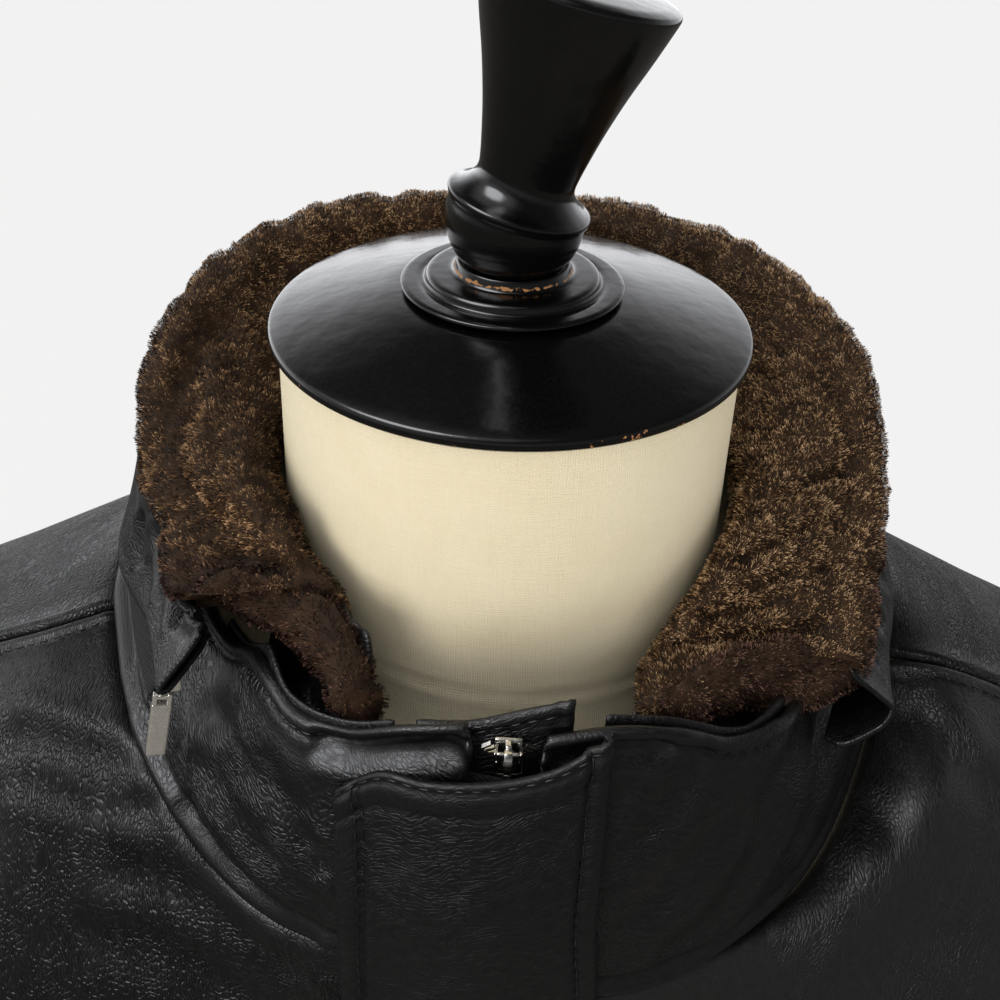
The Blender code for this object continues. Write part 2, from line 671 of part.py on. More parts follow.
GUARD_SHIFT = WALL + 2.8
TAPE_SHIFT = WALL + 0.7
GUARD_TOP = ((-18, -57), (-8, -57), (6, -53.5), (18.5, -50.5))
guard = strip_grid(constant_columns(-18, 18.5, 4), [-0.98, -0.75, -0.5, -0.25] + STRIP_PLACES[4:],
                   lambda x, place: -GUARD_SHIFT)
guard[0, :, 2] = np.interp(guard[0, :, 0], [p[0] for p in GUARD_TOP], [p[1] for p in GUARD_TOP])
cloth("zip_guard", guard, THIN_WALL, centre=np.array([0.0, 0.0, -400.0]))
zip_places = [-0.84, -0.7, -0.5, -0.25] + STRIP_PLACES[4:]
cloth("zip_tape", strip_grid(constant_columns(ZIP_X - 14, ZIP_X + 14, 3), zip_places,
                             lambda x, place: -TAPE_SHIFT), 0.8, TAPE,
      centre=np.array([0.0, 0.0, -400.0]))
teeth_places = [-0.83, -0.7, -0.5, -0.25] + STRIP_PLACES[4:]
cloth("zip_teeth", strip_grid(constant_columns(ZIP_X - 2.9, ZIP_X + 2.9, 2), teeth_places,
                              lambda x, place: 0.6), 2.5, STEEL,
      centre=np.array([0.0, 0.0, -400.0]))
slider_place = front_point(ZIP_X, -0.93)
block("zip_slider", (6.2, 3.4, 8.4), (ZIP_X, slider_place[1] + 0.3, slider_place[2] + 0.6), STEEL,
      bevel=0.9)
tab_top = front_point(ZIP_X, -0.88) + np.array([0.0, -3.4, 0.0])
tab_end = front_point(ZIP_X, -0.62) + np.array([0.0, -3.4, 0.0])
zip_tab = block("zip_tab", (4.6, 1.2, 20.0), (tab_top + tab_end) / 2, STEEL, bevel=0.35)
zip_tab.rotation_euler = (math.atan2(tab_end[1] - tab_top[1], tab_top[2] - tab_end[2]), 0, 0)


# ---------------------------------------------------------------- dress form
def form_torso():
    angles = np.linspace(0, np.pi, 17)
    sections = []
    for ring in FORM_NECK:
        right = ring_point(1, ring, angles)
        half_width, front = ring[0], ring[1]
        right[:, 0] = half_width * np.sin(angles)
        depth = np.where(np.cos(angles) >= 0, front, ring[2])
        right[:, 1] = -depth * np.cos(angles)
        left = right[1:-1][::-1] * np.array([-1, 1, 1])
        sections.append(np.concatenate([right, left]))
    places = [0.0] + list(range(1, HEM_ROW + 1))
    for place in places:
        shoulder, middle = smooth_rows(FORM_INSETS, [place])[0]
        ring = []
        for side in (1, -1):
            spread = [body_row(side, min(max(place + d, 0), HEM_ROW), angles) for d in
                      (-0.02, 0.0, 0.02)]
            patch = np.array(spread)
            normal = facing_out(patch)[0][1]
            weight = np.sin(angles)[:, None] ** 2
            inset = shoulder * weight + middle * (1 - weight)
            inside = patch[1] - normal * inset
            inside[[0, -1], 0] = 0.0
            ring.append(inside)
        rim = np.concatenate([ring[0], ring[1][1:-1][::-1]])
        rim[:, 0] = np.clip(rim[:, 0], -FORM_SHOULDER_PLATE, FORM_SHOULDER_PLATE)
        sections.append(rim)
    for half_width, front, back, height in FORM_LOWER:
        right = ring_point(1, (half_width, front, back, height, height, height), angles)
        left = right[1:-1][::-1] * np.array([-1, 1, 1])
        sections.append(np.concatenate([right, left]))
    return np.array(sections)


loft("form_torso", form_torso(), LINEN)

board_top = FORM_LOWER[-1][3] - 0.4 + CAP_HEIGHT
board_bottom = board_top - 14.0
turned("form_board", ((0, board_top), (74, board_top), (80, board_top - 3),
                      (80, board_bottom + 5), (75, board_bottom), (0, board_bottom)), LACQUER)
base_top = BASE_THICKNESS + 14.0
turned("form_pole", ((0, board_bottom - 0.3), (26, board_bottom - 0.3), (26, board_bottom - 8),
                     (POLE_RADIUS, board_bottom - 14), (POLE_RADIUS, base_top + 22),
                     (24, base_top + 16), (24, base_top + 0.3), (0, base_top + 0.3)), IRON, 32)
turned("form_base", ((0, base_top), (40, base_top), (60, base_top - 5), (140, BASE_THICKNESS + 3),
                     (BASE_RADIUS - 6, BASE_THICKNESS), (BASE_RADIUS, BASE_THICKNESS - 6),
                     (BASE_RADIUS, 3), (BASE_RADIUS - 3, 0), (0, 0)), IRON, 48)

turned("neck_cap", ((0, 9.4), (20, 9.3), (31, 8.7), (48, 4.8), (62, 1.2), (64.4, 0.4),
                    (CAP_RADIUS, -0.6), (CAP_RADIUS, -2.0), (64, -3.0), (0, -3.0)), LACQUER, 48,
       place=(0, 0, CAP_HEIGHT))
# The ring's cup takes the finial's ball, and the finial leans in it.
seat_turns = np.linspace(math.asin(SEAT_RIM / SEAT_RADIUS), 0, 6)
seat = [(SEAT_RADIUS * math.sin(a), FINIAL_PIVOT - SEAT_RADIUS * math.cos(a))
        for a in seat_turns]
turned("cap_ring", ((0, 9.75), (29.4, 9.75), (29.8, 10.3), (29.0, 11.0), (23.8, 11.3),
                    (23.0, 11.8), (22.8, 12.8), (21.8, 13.5), (16.2, 13.8), (15.6, 14.6),
                    *seat)[::-1], LACQUER, 32, place=(0, 0, CAP_HEIGHT))
ball = [(BALL_RADIUS * math.cos(a), BALL_RADIUS * math.sin(a))
        for a in np.linspace(0.12, -math.pi / 2, 10)]
ball[-1] = (0.0, -BALL_RADIUS)
finial = turned("finial", ((0, 58.8), (14, 58.5), (21.5, 57.9), (24.2, 57.0), (24.6, 56.0),
                           (24.0, 53.6), (21.6, 46), (18.2, 36), (15.2, 25), (13.1, 15),
                           (12.5, 9.8), (13.4, 8.0), (15.6, 7.4), (17.3, 5.2), *ball),
                LACQUER, 32, place=(0, 0, CAP_HEIGHT + FINIAL_PIVOT))
finial.rotation_euler = (0.0, FINIAL_LEAN, 0.0)
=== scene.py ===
"""A black leather jacket with a fur-lined collar on a linen dress form, seen from above.

Tables are in millimetres from the centre of the neck cap's rim: x to the viewer's
right, y to the back, z up. Viewer's left is the wearer's right, side -1.
"""
import math

import bpy
import numpy as np
from mathutils import Matrix, Vector
from mathutils.kdtree import KDTree


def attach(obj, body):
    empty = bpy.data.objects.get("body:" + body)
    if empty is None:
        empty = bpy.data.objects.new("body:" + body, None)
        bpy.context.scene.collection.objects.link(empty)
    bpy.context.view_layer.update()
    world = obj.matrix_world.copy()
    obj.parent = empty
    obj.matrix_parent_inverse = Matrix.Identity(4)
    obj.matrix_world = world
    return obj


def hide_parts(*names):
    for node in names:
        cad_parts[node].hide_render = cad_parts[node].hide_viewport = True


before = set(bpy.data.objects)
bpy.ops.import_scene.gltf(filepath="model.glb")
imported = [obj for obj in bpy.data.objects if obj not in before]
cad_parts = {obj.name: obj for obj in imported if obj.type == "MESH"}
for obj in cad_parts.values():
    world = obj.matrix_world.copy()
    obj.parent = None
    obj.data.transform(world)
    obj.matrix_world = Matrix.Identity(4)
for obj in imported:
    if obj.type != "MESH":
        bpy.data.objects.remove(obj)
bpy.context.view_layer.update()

# ================================================================ the room
# A pale studio: a wide even floor that runs out to a pale backdrop, one large soft light low in
# front on the viewer's left, and a weaker one high on the other side.


def linear(hex_color):
    """An sRGB hex colour as linear RGBA."""
    parts = [int(hex_color[i:i + 2], 16) / 255 for i in (1, 3, 5)]
    return tuple(c / 12.92 if c <= 0.04045 else ((c + 0.055) / 1.055) ** 2.4
                 for c in parts) + (1.0,)


def add(tree, kind, settings=None, links=None):
    """Adds a node, or sets up one that is there. Settings are properties, socket values, a
    ramp's stops or the ends of a range; a link may name an output other than the first."""
    node = kind
    if isinstance(kind, str):
        kind, *operation = kind.split()
        node = tree.nodes.new("ShaderNode" + kind)
        for name in operation:
            node.operation = name
    for key, value in (settings or {}).items():
        if key == "stops":
            ramp = node.color_ramp.elements
            for place, color in value[2:]:
                ramp.new(place)
            for stop, (place, color) in zip(ramp, value):
                stop.position, stop.color = place, linear(color)
        elif key == "ends":
            for socket, end in enumerate(value, 1):
                node.inputs[socket].default_value = end
        elif isinstance(key, str) and hasattr(node, key):
            setattr(node, key, value)
        else:
            node.inputs[key].default_value = value
    for key, source in (links or {}).items():
        source, output = source if isinstance(source, tuple) else (source, 0)
        tree.links.new(source.outputs[output], node.inputs[key])
    return node


MM = 0.001
CAP_HEIGHT = 1500.0         # floor to the rim of the neck cap
CAMERA_PLACE = (-0.0009, -0.2837, 1.6359)
CAMERA_PITCH = math.radians(34.68)
CAMERA_ROLL = math.radians(2.43)
CAMERA_LENS = 41.4
BACKDROP = "#f0f0f0"
ROOM_WALL = 3.0             # radiance of the pale wall behind, which the lacquer reflects
ROOM_DARK = 0.07            # and of the dark side of the room
ROOM_FILL = 1.0             # soft fill for matt surfaces, strongest from above
SKYLIGHT = 1.0              # a soft overhead window, which gives the leather its sheen,
SKYLIGHT_PANE = 9.0         # and the bright pane in it, which gives the glints
SKYLIGHT_WAY = (-0.52, -0.20, 0.83)
FLOOR_RADIUS = 14.0

ahead = Vector((0, math.cos(CAMERA_PITCH), -math.sin(CAMERA_PITCH)))
level = Vector((1, 0, 0))
above = level.cross(ahead)
right = level * math.cos(CAMERA_ROLL) + above * math.sin(CAMERA_ROLL)
upward = above * math.cos(CAMERA_ROLL) - level * math.sin(CAMERA_ROLL)
camera = bpy.data.objects.new("camera", bpy.data.cameras.new("camera"))
camera.matrix_world = Matrix.Translation(CAMERA_PLACE) @ Matrix(
    (right, upward, -ahead)).transposed().to_4x4()
camera.data.lens = CAMERA_LENS
camera.data.clip_start = 0.01
bpy.context.scene.collection.objects.link(camera)
bpy.context.scene.camera = camera
bpy.context.scene.view_settings.view_transform = "Standard"

room = bpy.data.worlds.new("pale studio")
bpy.context.scene.world = room
room.use_nodes = True
tree = room.node_tree
tree.nodes.clear()
SOFT = {"interpolation_type": "SMOOTHSTEP"}
ray = add(tree, "LightPath")
where = add(tree, "TexCoord")
axes = add(tree, "SeparateXYZ", links={0: (where, "Generated")})
height = add(tree, "MapRange", {"ends": (0.05, 0.70, 1.0, 0.0), **SOFT}, {0: (axes, "Z")})
behind = add(tree, "MapRange", {"ends": (-0.2, 0.9, 0.12, 1.0), **SOFT}, {0: (axes, "Y")})
leftward = add(tree, "MapRange", {"ends": (-0.8, 0.8, 1.25, 0.45)}, {0: (axes, "X")})
wall = add(tree, "Math MULTIPLY", links={0: height, 1: behind})
wall_side = add(tree, "Math MULTIPLY", links={0: wall, 1: leftward})
glow = add(tree, "Math MULTIPLY_ADD", {1: ROOM_WALL, 2: ROOM_DARK}, {0: wall_side})
toward = add(tree, "VectorMath DOT_PRODUCT", {1: SKYLIGHT_WAY}, {0: (where, "Generated")})
window = add(tree, "MapRange", {"ends": (0.66, 0.97, 0.0, SKYLIGHT), **SOFT},
             {0: (toward, "Value")})
pane = add(tree, "MapRange", {"ends": (0.925, 0.975, 0.0, SKYLIGHT_PANE), **SOFT},
           {0: (toward, "Value")})
for part in (window, pane):
    glow = add(tree, "Math ADD", links={0: glow, 1: part})
mirror = add(tree, "Background", {"Color": linear("#f2f3f6")}, {"Strength": glow})
overhead = add(tree, "MapRange", {"ends": (-0.3, 0.9, 0.2 * ROOM_FILL, ROOM_FILL)},
               {0: (axes, "Z")})
fill = add(tree, "Background", {"Color": linear("#f8f4ee")}, {"Strength": overhead})
lit = add(tree, "MixShader", links={0: (ray, "Is Glossy Ray"), 1: fill, 2: mirror})
plain = add(tree, "Background", {"Color": linear(BACKDROP), "Strength": 1.0})
seen = add(tree, "MixShader", links={0: (ray, "Is Camera Ray"), 1: lit, 2: plain})
add(tree, "OutputWorld", links={0: seen})


def soft_light(name, place, aim, size, watts, color):
    """A square softbox that looks at a point of the jacket."""
    lamp = bpy.data.lights.new(name, "AREA")
    lamp.size = size
    lamp.energy = watts
    lamp.color = linear(color)[:3]
    box = bpy.data.objects.new(name, lamp)
    box.location = place
    # the room itself gives the reflections
    box.visible_glossy = False
    box.rotation_euler = (Vector(aim) - Vector(place)).to_track_quat("-Z", "Y").to_euler()
    bpy.context.scene.collection.objects.link(box)


NECK = (0, 0, 1.42)
soft_light("key light", (-0.85, -1.5, 1.44), NECK, 1.1, 15.5, "#fff8ee")
soft_light("side light", (1.8, -0.7, 2.2), NECK, 0.8, 4, "#fff6ec")


def material(name):
    """A new material, its node tree and its shader."""
    made = bpy.data.materials.new(name)
    made.use_nodes = True
    return made, made.node_tree, made.node_tree.nodes["Principled BSDF"]


FLOOR_SIDES = 96
floor_mesh = bpy.data.meshes.new("floor")
rim = [(FLOOR_RADIUS * math.cos(a), FLOOR_RADIUS * math.sin(a), 0.0)
       for a in np.linspace(0, 2 * math.pi, FLOOR_SIDES, endpoint=False)]
floor_mesh.from_pydata(rim, [], [list(range(FLOOR_SIDES))])
floor = bpy.data.objects.new("floor", floor_mesh)
bpy.context.scene.collection.objects.link(floor)
paint, tree, _ = material("pale studio floor")
tree.nodes.clear()
ray = add(tree, "LightPath")
cloudy = add(tree, "TexNoise", {"Scale": 0.6})
tint = add(tree, "ValToRGB", {"stops": [(0.3, "#ececec"), (0.7, "#f2f2f2")]}, {0: cloudy})
matt = add(tree, "BsdfDiffuse", links={"Color": tint})
even = add(tree, "Emission", {"Color": linear("#f3f3f3"), "Strength": 1.0})
share = add(tree, "Math MULTIPLY", {1: 0.96}, {0: (ray, "Is Camera Ray")})
dim = add(tree, "BsdfDiffuse", {"Color": linear("#707070")})
under = add(tree, "MixShader", links={0: (ray, "Is Glossy Ray"), 1: matt, 2: dim})
mixed = add(tree, "MixShader", links={0: share, 1: under, 2: even})
add(tree, "OutputMaterial", links={0: mixed})
floor_mesh.materials.append(paint)

# ================================================================ the jacket's body
# Two fronts and a back of black pebbled cowhide, 1.2 mm thick and turned over at every
# seam. The shoulder seams are topstitched, and the hide creases where it is pulled.

WALL = 2.0                  # leather with its turned seam
SEAM_GAP = 0.4
ZIP_X = 3.5
ZIP_HALF_GAP = 3.5
ROUNDNESS = 2.25            # exponent of the body rings, 2 is an ellipse
RING_STEPS = 9
# half width, front depth, back depth, height at front, side and back, armhole half width
BODY_RINGS = (
    (140, 109.5, 103, -168, -104, -92, 0), (165, 113, 108, -188, -113, -106, 0),
    (200, 118, 113, -210, -127, -126, 0), (234, 122, 117, -234, -141, -150, 0),
    (237, 125, 119, -260, -178, -185, 224), (235, 127, 120, -288, -222, -228, 212),
    (230, 128, 119, -316, -280, -284, 212), (228, 128, 118, -334, -318, -319, 219),
    (226, 127, 117, -348, -346, -346, 0), (224, 125, 116, -400, -400, -400, 0),
    (218, 121, 112, -490, -490, -490, 0), (214, 118, 110, -570, -570, -570, 0),
    (218, 120, 115, -660, -660, -660, 0), (224, 122, 120, -757, -757, -757, 0),
)
SHOULDER_ROW, UNDERARM_ROW, HEM_ROW = 4, 9, 14
SHOULDER_SEAM = math.radians(84)
SIDE_SEAM = math.radians(90)
# neck seam, x, y, z from the zip round to the middle of the back
NECK_FRONT = {
    -1: ((0, -109, -146), (-22, -107.5, -141), (-43.5, -104, -134), (-55, -99, -133),
         (-70, -90, -130), (-84, -79, -122), (-97, -64, -113), (-108, -45, -107),
         (-118, -18, -101), (-122, 2, -97)),
    1: ((7, -109, -147), (24, -108, -148), (38, -106, -148), (50, -101.5, -146),
        (62, -96, -143), (73, -88.5, -141), (85, -78, -139), (98, -62, -134),
        (109, -42, -126), (118, -20, -114), (122, 0, -100)),
}
NECK_BACK = {
    -1: ((-122, 2, -97), (-118, 30, -92), (-102, 58, -88), (-75, 80, -85),
         (-40, 94, -83), (0, 98, -82)),
    1: ((122, 0, -100), (118, 30, -93), (102, 58, -88), (75, 80, -85),
        (40, 94, -83), (0, 98, -82)),
}
BODY_PLACES = ([0, 1, 2, 3] + [SHOULDER_ROW + k / 2 for k in range(0, 11)]
               + [10, 11, 12, 13, 14])


def spline(table, places):
    """Catmull-Rom through the rows of a table, read at fractional row numbers."""
    table = np.asarray(table, float)
    places = np.asarray(places, float)
    last = len(table) - 1
    row = np.minimum(places.astype(int), last - 1)
    t = (places - row).reshape(-1, *[1] * (table.ndim - 1))
    before, start = table[np.maximum(row - 1, 0)], table[row]
    end, after = table[row + 1], table[np.minimum(row + 2, last)]
    return 0.5 * (2 * start + (end - before) * t
                  + (2 * before - 5 * start + 4 * end - after) * t * t
                  + (3 * start - before - 3 * end + after) * t ** 3)


def unit(vectors):
    return vectors / np.maximum(np.linalg.norm(vectors, axis=-1, keepdims=True), 1e-9)


def strides(points, axis=0):
    """The lengths of the steps from point to point along one axis of a grid or a path."""
    return np.linalg.norm(np.diff(points, axis=axis), axis=-1)


def from_zero(sizes):
    """The distance run up to each point, from the steps between them."""
    return np.concatenate([[0.0], np.cumsum(sizes)])


def along(points, shares):
    """Points at shares of the length of a smooth curve through the given points."""
    dense = spline(points, np.linspace(0, len(points) - 1, 20 * len(points)))
    length = from_zero(strides(dense))
    length /= length[-1]
    return np.stack([np.interp(shares, length, dense[:, i]) for i in range(3)], axis=1)


def graded(length, coarse, fine=None, bands=()):
    """Shares of a length in coarse steps, with fine steps inside the bands."""
    places = [0.0]
    while places[-1] < length:
        inside = any(low <= places[-1] < high for low, high in bands)
        places.append(places[-1] + (fine if inside else coarse))
    places[-1] = length
    return np.array(places) / length


def refined(grid, down, across, closed=False):
    """The same smooth surface with new rows and columns, at shares of its lengths."""
    size = from_zero(strides(grid).mean(axis=1))
    grid = spline(grid, np.interp(down * size[-1], size, np.arange(len(size))))
    if closed:
        grid = np.concatenate([grid[:, -2:], grid, grid[:, :3]], axis=1)
        places = 2 + across * (grid.shape[1] - 5)
    else:
        size = from_zero(strides(grid, 1).mean(axis=0))
        places = np.interp(across * size[-1], size, np.arange(len(size)))
    return spline(grid.swapaxes(0, 1), places).swapaxes(0, 1)


CENTRE = (0.0, 0.0, None)   # the jacket's upright middle line


def normals(grid, closed=False, centre=CENTRE):
    """Unit normals of a grid, turned away from a centre (None: its own mean there)."""
    if closed:
        across = np.roll(grid, -1, axis=1) - np.roll(grid, 1, axis=1)
    else:
        across = np.gradient(grid, axis=1)
    found = unit(np.cross(across, np.gradient(grid, axis=0)))
    mean = grid.reshape(-1, 3).mean(axis=0)
    middle = np.array([m if c is None else c for c, m in zip(centre, mean)])
    return -found if (found * (grid - middle)).sum() < 0 else found


def build(name, points, faces, made, uv=None, tones=None):
    """A smooth-shaded mesh object from millimetre points and rows of face corners."""
    mesh = bpy.data.meshes.new(name)
    points = (np.asarray(points, float) + np.array([0, 0, CAP_HEIGHT])) * MM
    faces = np.asarray(faces)
    mesh.vertices.add(len(points))
    mesh.vertices.foreach_set("co", points.ravel())
    mesh.loops.add(faces.size)
    mesh.loops.foreach_set("vertex_index", faces.ravel().astype(np.int32))
    mesh.polygons.add(len(faces))
    mesh.polygons.foreach_set("loop_start",
                              np.arange(0, faces.size, faces.shape[1], dtype=np.int32))
    mesh.update(calc_edges=True)
    if uv is not None:
        layer = mesh.uv_layers.new(name="cloth")
        layer.data.foreach_set("uv", uv[faces.ravel()].ravel())
    for key, values in (tones or {}).items():
        mesh.attributes.new(key, "FLOAT", "POINT").data.foreach_set("value", values)
    mesh.shade_smooth()
    mesh.materials.append(made)
    obj = bpy.data.objects.new(name, mesh)
    bpy.context.scene.collection.objects.link(obj)
    return obj


def lengths(grid):
    """Width and length of a sheet along its rows and columns at every point, in mm."""
    across = np.zeros(grid.shape[:2])
    across[:, 1:] = strides(grid, 1).cumsum(axis=1)
    down = np.zeros(grid.shape[:2])
    down[1:] = strides(grid).cumsum(axis=0)
    return across, down


def cells(index, closed=False):
    """The four corners of each cell of a grid of point numbers."""
    beside = np.roll(index, -1, axis=1) if closed else index[:, 1:]
    here = index if closed else index[:, :-1]
    return np.stack([here[:-1], beside[:-1], beside[1:], here[1:]], axis=-1).reshape(-1, 4)


def slopes(points, faces):
    """The direction in which each face looks."""
    corner = points[faces]
    return np.cross(corner[:, 1] - corner[:, 0], corner[:, 3] - corner[:, 0])


ROLLED = 3                  # rows of points round the edge of a sheet


def shell(name, grid, wall, made, closed=False, centre=CENTRE, tones=None):
    """A closed sheet of leather: outer face on the grid, inner face, rolled edges."""
    rows, columns = grid.shape[:2]
    count = rows * columns
    index = np.arange(count).reshape(rows, columns)
    quads = cells(index, closed)
    out = normals(grid, closed, centre)
    flat_out = out.reshape(-1, 3)
    if (slopes(grid.reshape(-1, 3), quads) * flat_out[quads[:, 0]]).sum() < 0:
        quads = quads[:, ::-1]
    across, down = lengths(grid)
    uv = np.stack([across - across.mean(), down], axis=-1).reshape(-1, 2) * MM
    points = [grid.reshape(-1, 3), (grid - out * wall).reshape(-1, 3)]
    faces = [quads, quads[:, ::-1] + count]
    uvs = [uv, uv]
    sources = [np.arange(count), np.arange(count)]
    if closed:
        borders = [(index[0], index[1]), (index[-1], index[-2])]
    else:
        # each border point is paired with its neighbour one step inside
        inset = index[np.clip(np.arange(rows), 1, rows - 2)][
            :, np.clip(np.arange(columns), 1, columns - 2)]
        borders = [tuple(np.concatenate([g[0, :-1], g[:-1, -1], g[-1, :0:-1], g[:0:-1, 0]])
                         for g in (index, inset))]
    base = 2 * count
    middle = (grid - out * wall / 2).reshape(-1, 3)
    for border, inside in borders:
        away = middle[border] - middle[inside]
        away -= flat_out[border] * (away * flat_out[border]).sum(axis=1, keepdims=True)
        run = unit(np.roll(middle[border], -1, axis=0) - np.roll(middle[border], 1, axis=0))
        away = unit(away - run * (away * run).sum(axis=1, keepdims=True))
        rings = [border]
        for k in range(1, ROLLED + 1):
            turn = math.pi * k / (ROLLED + 1)
            points.append(middle[border] + (flat_out[border] * math.cos(turn)
                                            + away * math.sin(turn)) * wall / 2)
            uvs.append(uv[border])
            sources.append(border)
            rings.append(np.arange(base, base + len(border)))
            base += len(border)
        rings.append(border + count)
        strips = [np.stack([near, np.roll(near, -1), np.roll(far, -1), far], axis=1)
                  for near, far in zip(rings, rings[1:])]
        flip = (slopes(np.concatenate(points), strips[ROLLED // 2]) * away).sum() < 0
        faces += [s[:, ::-1] if flip else s for s in strips]
    source = np.concatenate(sources)
    spread = {key: values.ravel()[source] for key, values in (tones or {}).items()}
    return build(name, np.concatenate(points), np.concatenate(faces), made,
                 np.concatenate(uvs), spread)


def fit(obj, node=None, body="root"):
    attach(obj, body)
    if node:
        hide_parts(node)
    return obj


def sew(obj, node):
    fit(obj, node)


def at(grid, spots):
    """Points of a grid at (share across, share down)."""
    spots = np.asarray(spots, float)
    rows, columns = grid.shape[0] - 1, grid.shape[1] - 1
    u, v = spots[:, 0] * columns, spots[:, 1] * rows
    i = np.clip(v.astype(int), 0, rows - 1)
    j = np.clip(u.astype(int), 0, columns - 1)
    s, t = (u - j)[:, None], (v - i)[:, None]
    return ((grid[i, j] * (1 - s) + grid[i, j + 1] * s) * (1 - t)
            + (grid[i + 1, j] * (1 - s) + grid[i + 1, j + 1] * s) * t)


def bell(x, middle, width):
    """A soft swell of one, which dies away on both sides of its middle."""
    return np.exp(-((x - middle) / width) ** 2)


def crease(grid, out, marks):
    """Presses soft troughs into a grid, each with a ridge on both sides. A mark is
    depth, half width, then points across and down; a depth below zero is a ridge."""
    flat = grid.reshape(-1, 3)
    moved = np.zeros(len(flat))
    for depth, width, *spots in marks:
        line = at(grid, spline(spots, np.linspace(0, len(spots) - 1, 8 * len(spots))))
        near = np.nonzero(((flat > line.min(axis=0) - 4 * width)
                           & (flat < line.max(axis=0) + 4 * width)).all(axis=1))[0]
        start, run = line[:-1], np.diff(line, axis=0)
        offset = flat[near][:, None] - start
        share = np.clip((offset * run).sum(axis=2) / (run * run).sum(axis=1), 0, 1)
        away = np.linalg.norm(offset - share[..., None] * run, axis=2)
        best = away.argmin(axis=1)
        picked = np.arange(len(near))
        spot = (best + share[picked, best]) / len(run)
        fade = np.clip(np.minimum(spot, 1 - spot) / 0.3, 0, 1)
        fade *= fade * (3 - 2 * fade) / np.maximum(fade, 1e-6)
        q = away[picked, best] / width
        moved[near] -= depth * fade * (bell(q, 0, 1) - 0.4 * bell(q, 2, 0.8))
    return grid + out * moved.reshape(grid.shape[:2])[..., None]


def turned_edge(grid, out, distance, stitch, pitch_run, bead, ditch, drop):
    """A turned and stitched edge: rounded over, a bead, and a ditch under the stitches.
    Distance is from the edge in mm, and pitch_run runs along it, for the puckers."""
    rounding = -drop * np.clip(1 - distance / 1.5, 0, 1) ** 2
    puff = bead * np.sin(np.pi * np.clip(distance / stitch, 0, 1))
    pucker = 1 + 0.5 * np.cos(2 * np.pi * pitch_run / STITCH_PITCH)
    pressed = -ditch * bell(distance, stitch, 0.8) * (0.5 + 0.5 * pucker)
    beyond = 0.2 * bell(distance - stitch, 2.2, 1.2) * pucker
    return grid + out * (rounding + puff + pressed + beyond)[..., None]


def leather(name, turn=0.0, wrinkle=1.0, pebble=1.0, tone="#0c0c0d", shine=0.33, stretch=0.6,
            gloss=0.46):
    """Drum-dyed cowhide with a semi-matt finish. Light catches the tops of the pebbles,
    and fine wrinkles lie across the pull; turn is their direction on the piece."""
    made, tree, shader = material(name)
    flat = {"noise_dimensions": "2D"}
    where = add(tree, "TexCoord")
    # one unit is one millimetre of leather, along the wrinkles and across them
    lay = add(tree, "Mapping", {"Rotation": (0, 0, turn), "Scale": (1000, 1000, 1000)},
              {0: (where, "UV")})
    sway = add(tree, "TexNoise", {"Scale": 0.06, "Detail": 2.0, **flat}, {0: lay})
    swayed = add(tree, "VectorMath MULTIPLY_ADD", {1: (12, 12, 0)},
                 {0: (sway, "Color"), 2: lay})
    jog = add(tree, "TexNoise", {"Scale": 0.7, "Detail": 1.0, **flat}, {0: lay})
    jogged = add(tree, "VectorMath MULTIPLY_ADD", {1: (0.5, 0.5, 0)},
                 {0: (jog, "Color"), 2: swayed})
    # pebbles 1.3 mm wide, longer along the pull
    stretched = add(tree, "Mapping", {"Scale": (0.8 * stretch, 0.8, 1.0)}, {0: jogged})
    pebbles = add(tree, "TexVoronoi", {"voronoi_dimensions": "2D", "Scale": 1.0,
                                       "feature": "DISTANCE_TO_EDGE"}, {0: stretched})
    domes = add(tree, "MapRange", {"ends": (0.0, 0.26, 0.0, 0.30 * pebble), **SOFT},
                {0: pebbles})
    # wrinkles 1.3 mm apart and about 5 mm long
    combed = add(tree, "Mapping", {"Scale": (0.2, 0.8, 1.0)}, {0: swayed})
    wrinkles = add(tree, "TexNoise", {"Scale": 1.0, "Detail": 3.0, "Roughness": 0.55,
                                      "Distortion": 0.2, **flat}, {0: combed})
    folds = add(tree, "Math MULTIPLY", {1: 0.6 * wrinkle}, {0: wrinkles})
    # pores 0.35 mm apart
    pores = add(tree, "TexNoise", {"Scale": 2.8, "Detail": 2.0, **flat}, {0: lay})
    # pulled and relaxed areas, 30 to 60 mm across
    areas = add(tree, "TexNoise", {"Scale": 0.024, "Detail": 2.0, **flat}, {0: lay})
    loose = add(tree, "MapRange", {"ends": (0.35, 0.62, 0.3, 1.0)}, {0: areas})
    grain = add(tree, "Attribute", {"attribute_name": "smooth"})
    smooth = add(tree, "Math SUBTRACT", {0: 1.0}, {1: (grain, "Fac")})
    amount = add(tree, "Math MULTIPLY", links={0: loose, 1: smooth})
    both = add(tree, "Math ADD", links={0: domes, 1: folds})
    strong = add(tree, "Math MULTIPLY", links={0: both, 1: amount})
    fine = add(tree, "Math MULTIPLY_ADD", {1: 0.06}, {0: pores, 2: strong})
    bump = add(tree, "Bump", {"Strength": 1.0, "Distance": 0.001}, {"Height": fine})
    # painted shade and light: the colour follows the wrinkles' height, darker in their troughs
    # and lighter on their ridges
    wrinkle_shade = add(tree, "ValToRGB", {"stops": [(0.25, "#060607"), (0.55, tone), (0.9, "#141415")]},
              {0: wrinkles})
    rough = add(tree, "MapRange", {"ends": (0.0, 0.3, shine + 0.16, shine - 0.04)},
                {0: pebbles})
    # the finish is duller where the shoulders rub
    worn = add(tree, "Attribute", {"attribute_name": "worn"})
    dulled = add(tree, "MapRange", {"ends": (0.0, 1.0, gloss, 0.3 * gloss)},
                 {0: (worn, "Fac")})
    add(tree, shader, links={"Base Color": wrinkle_shade, "Roughness": rough, "Normal": bump,
                             "Specular IOR Level": dulled})
    return made


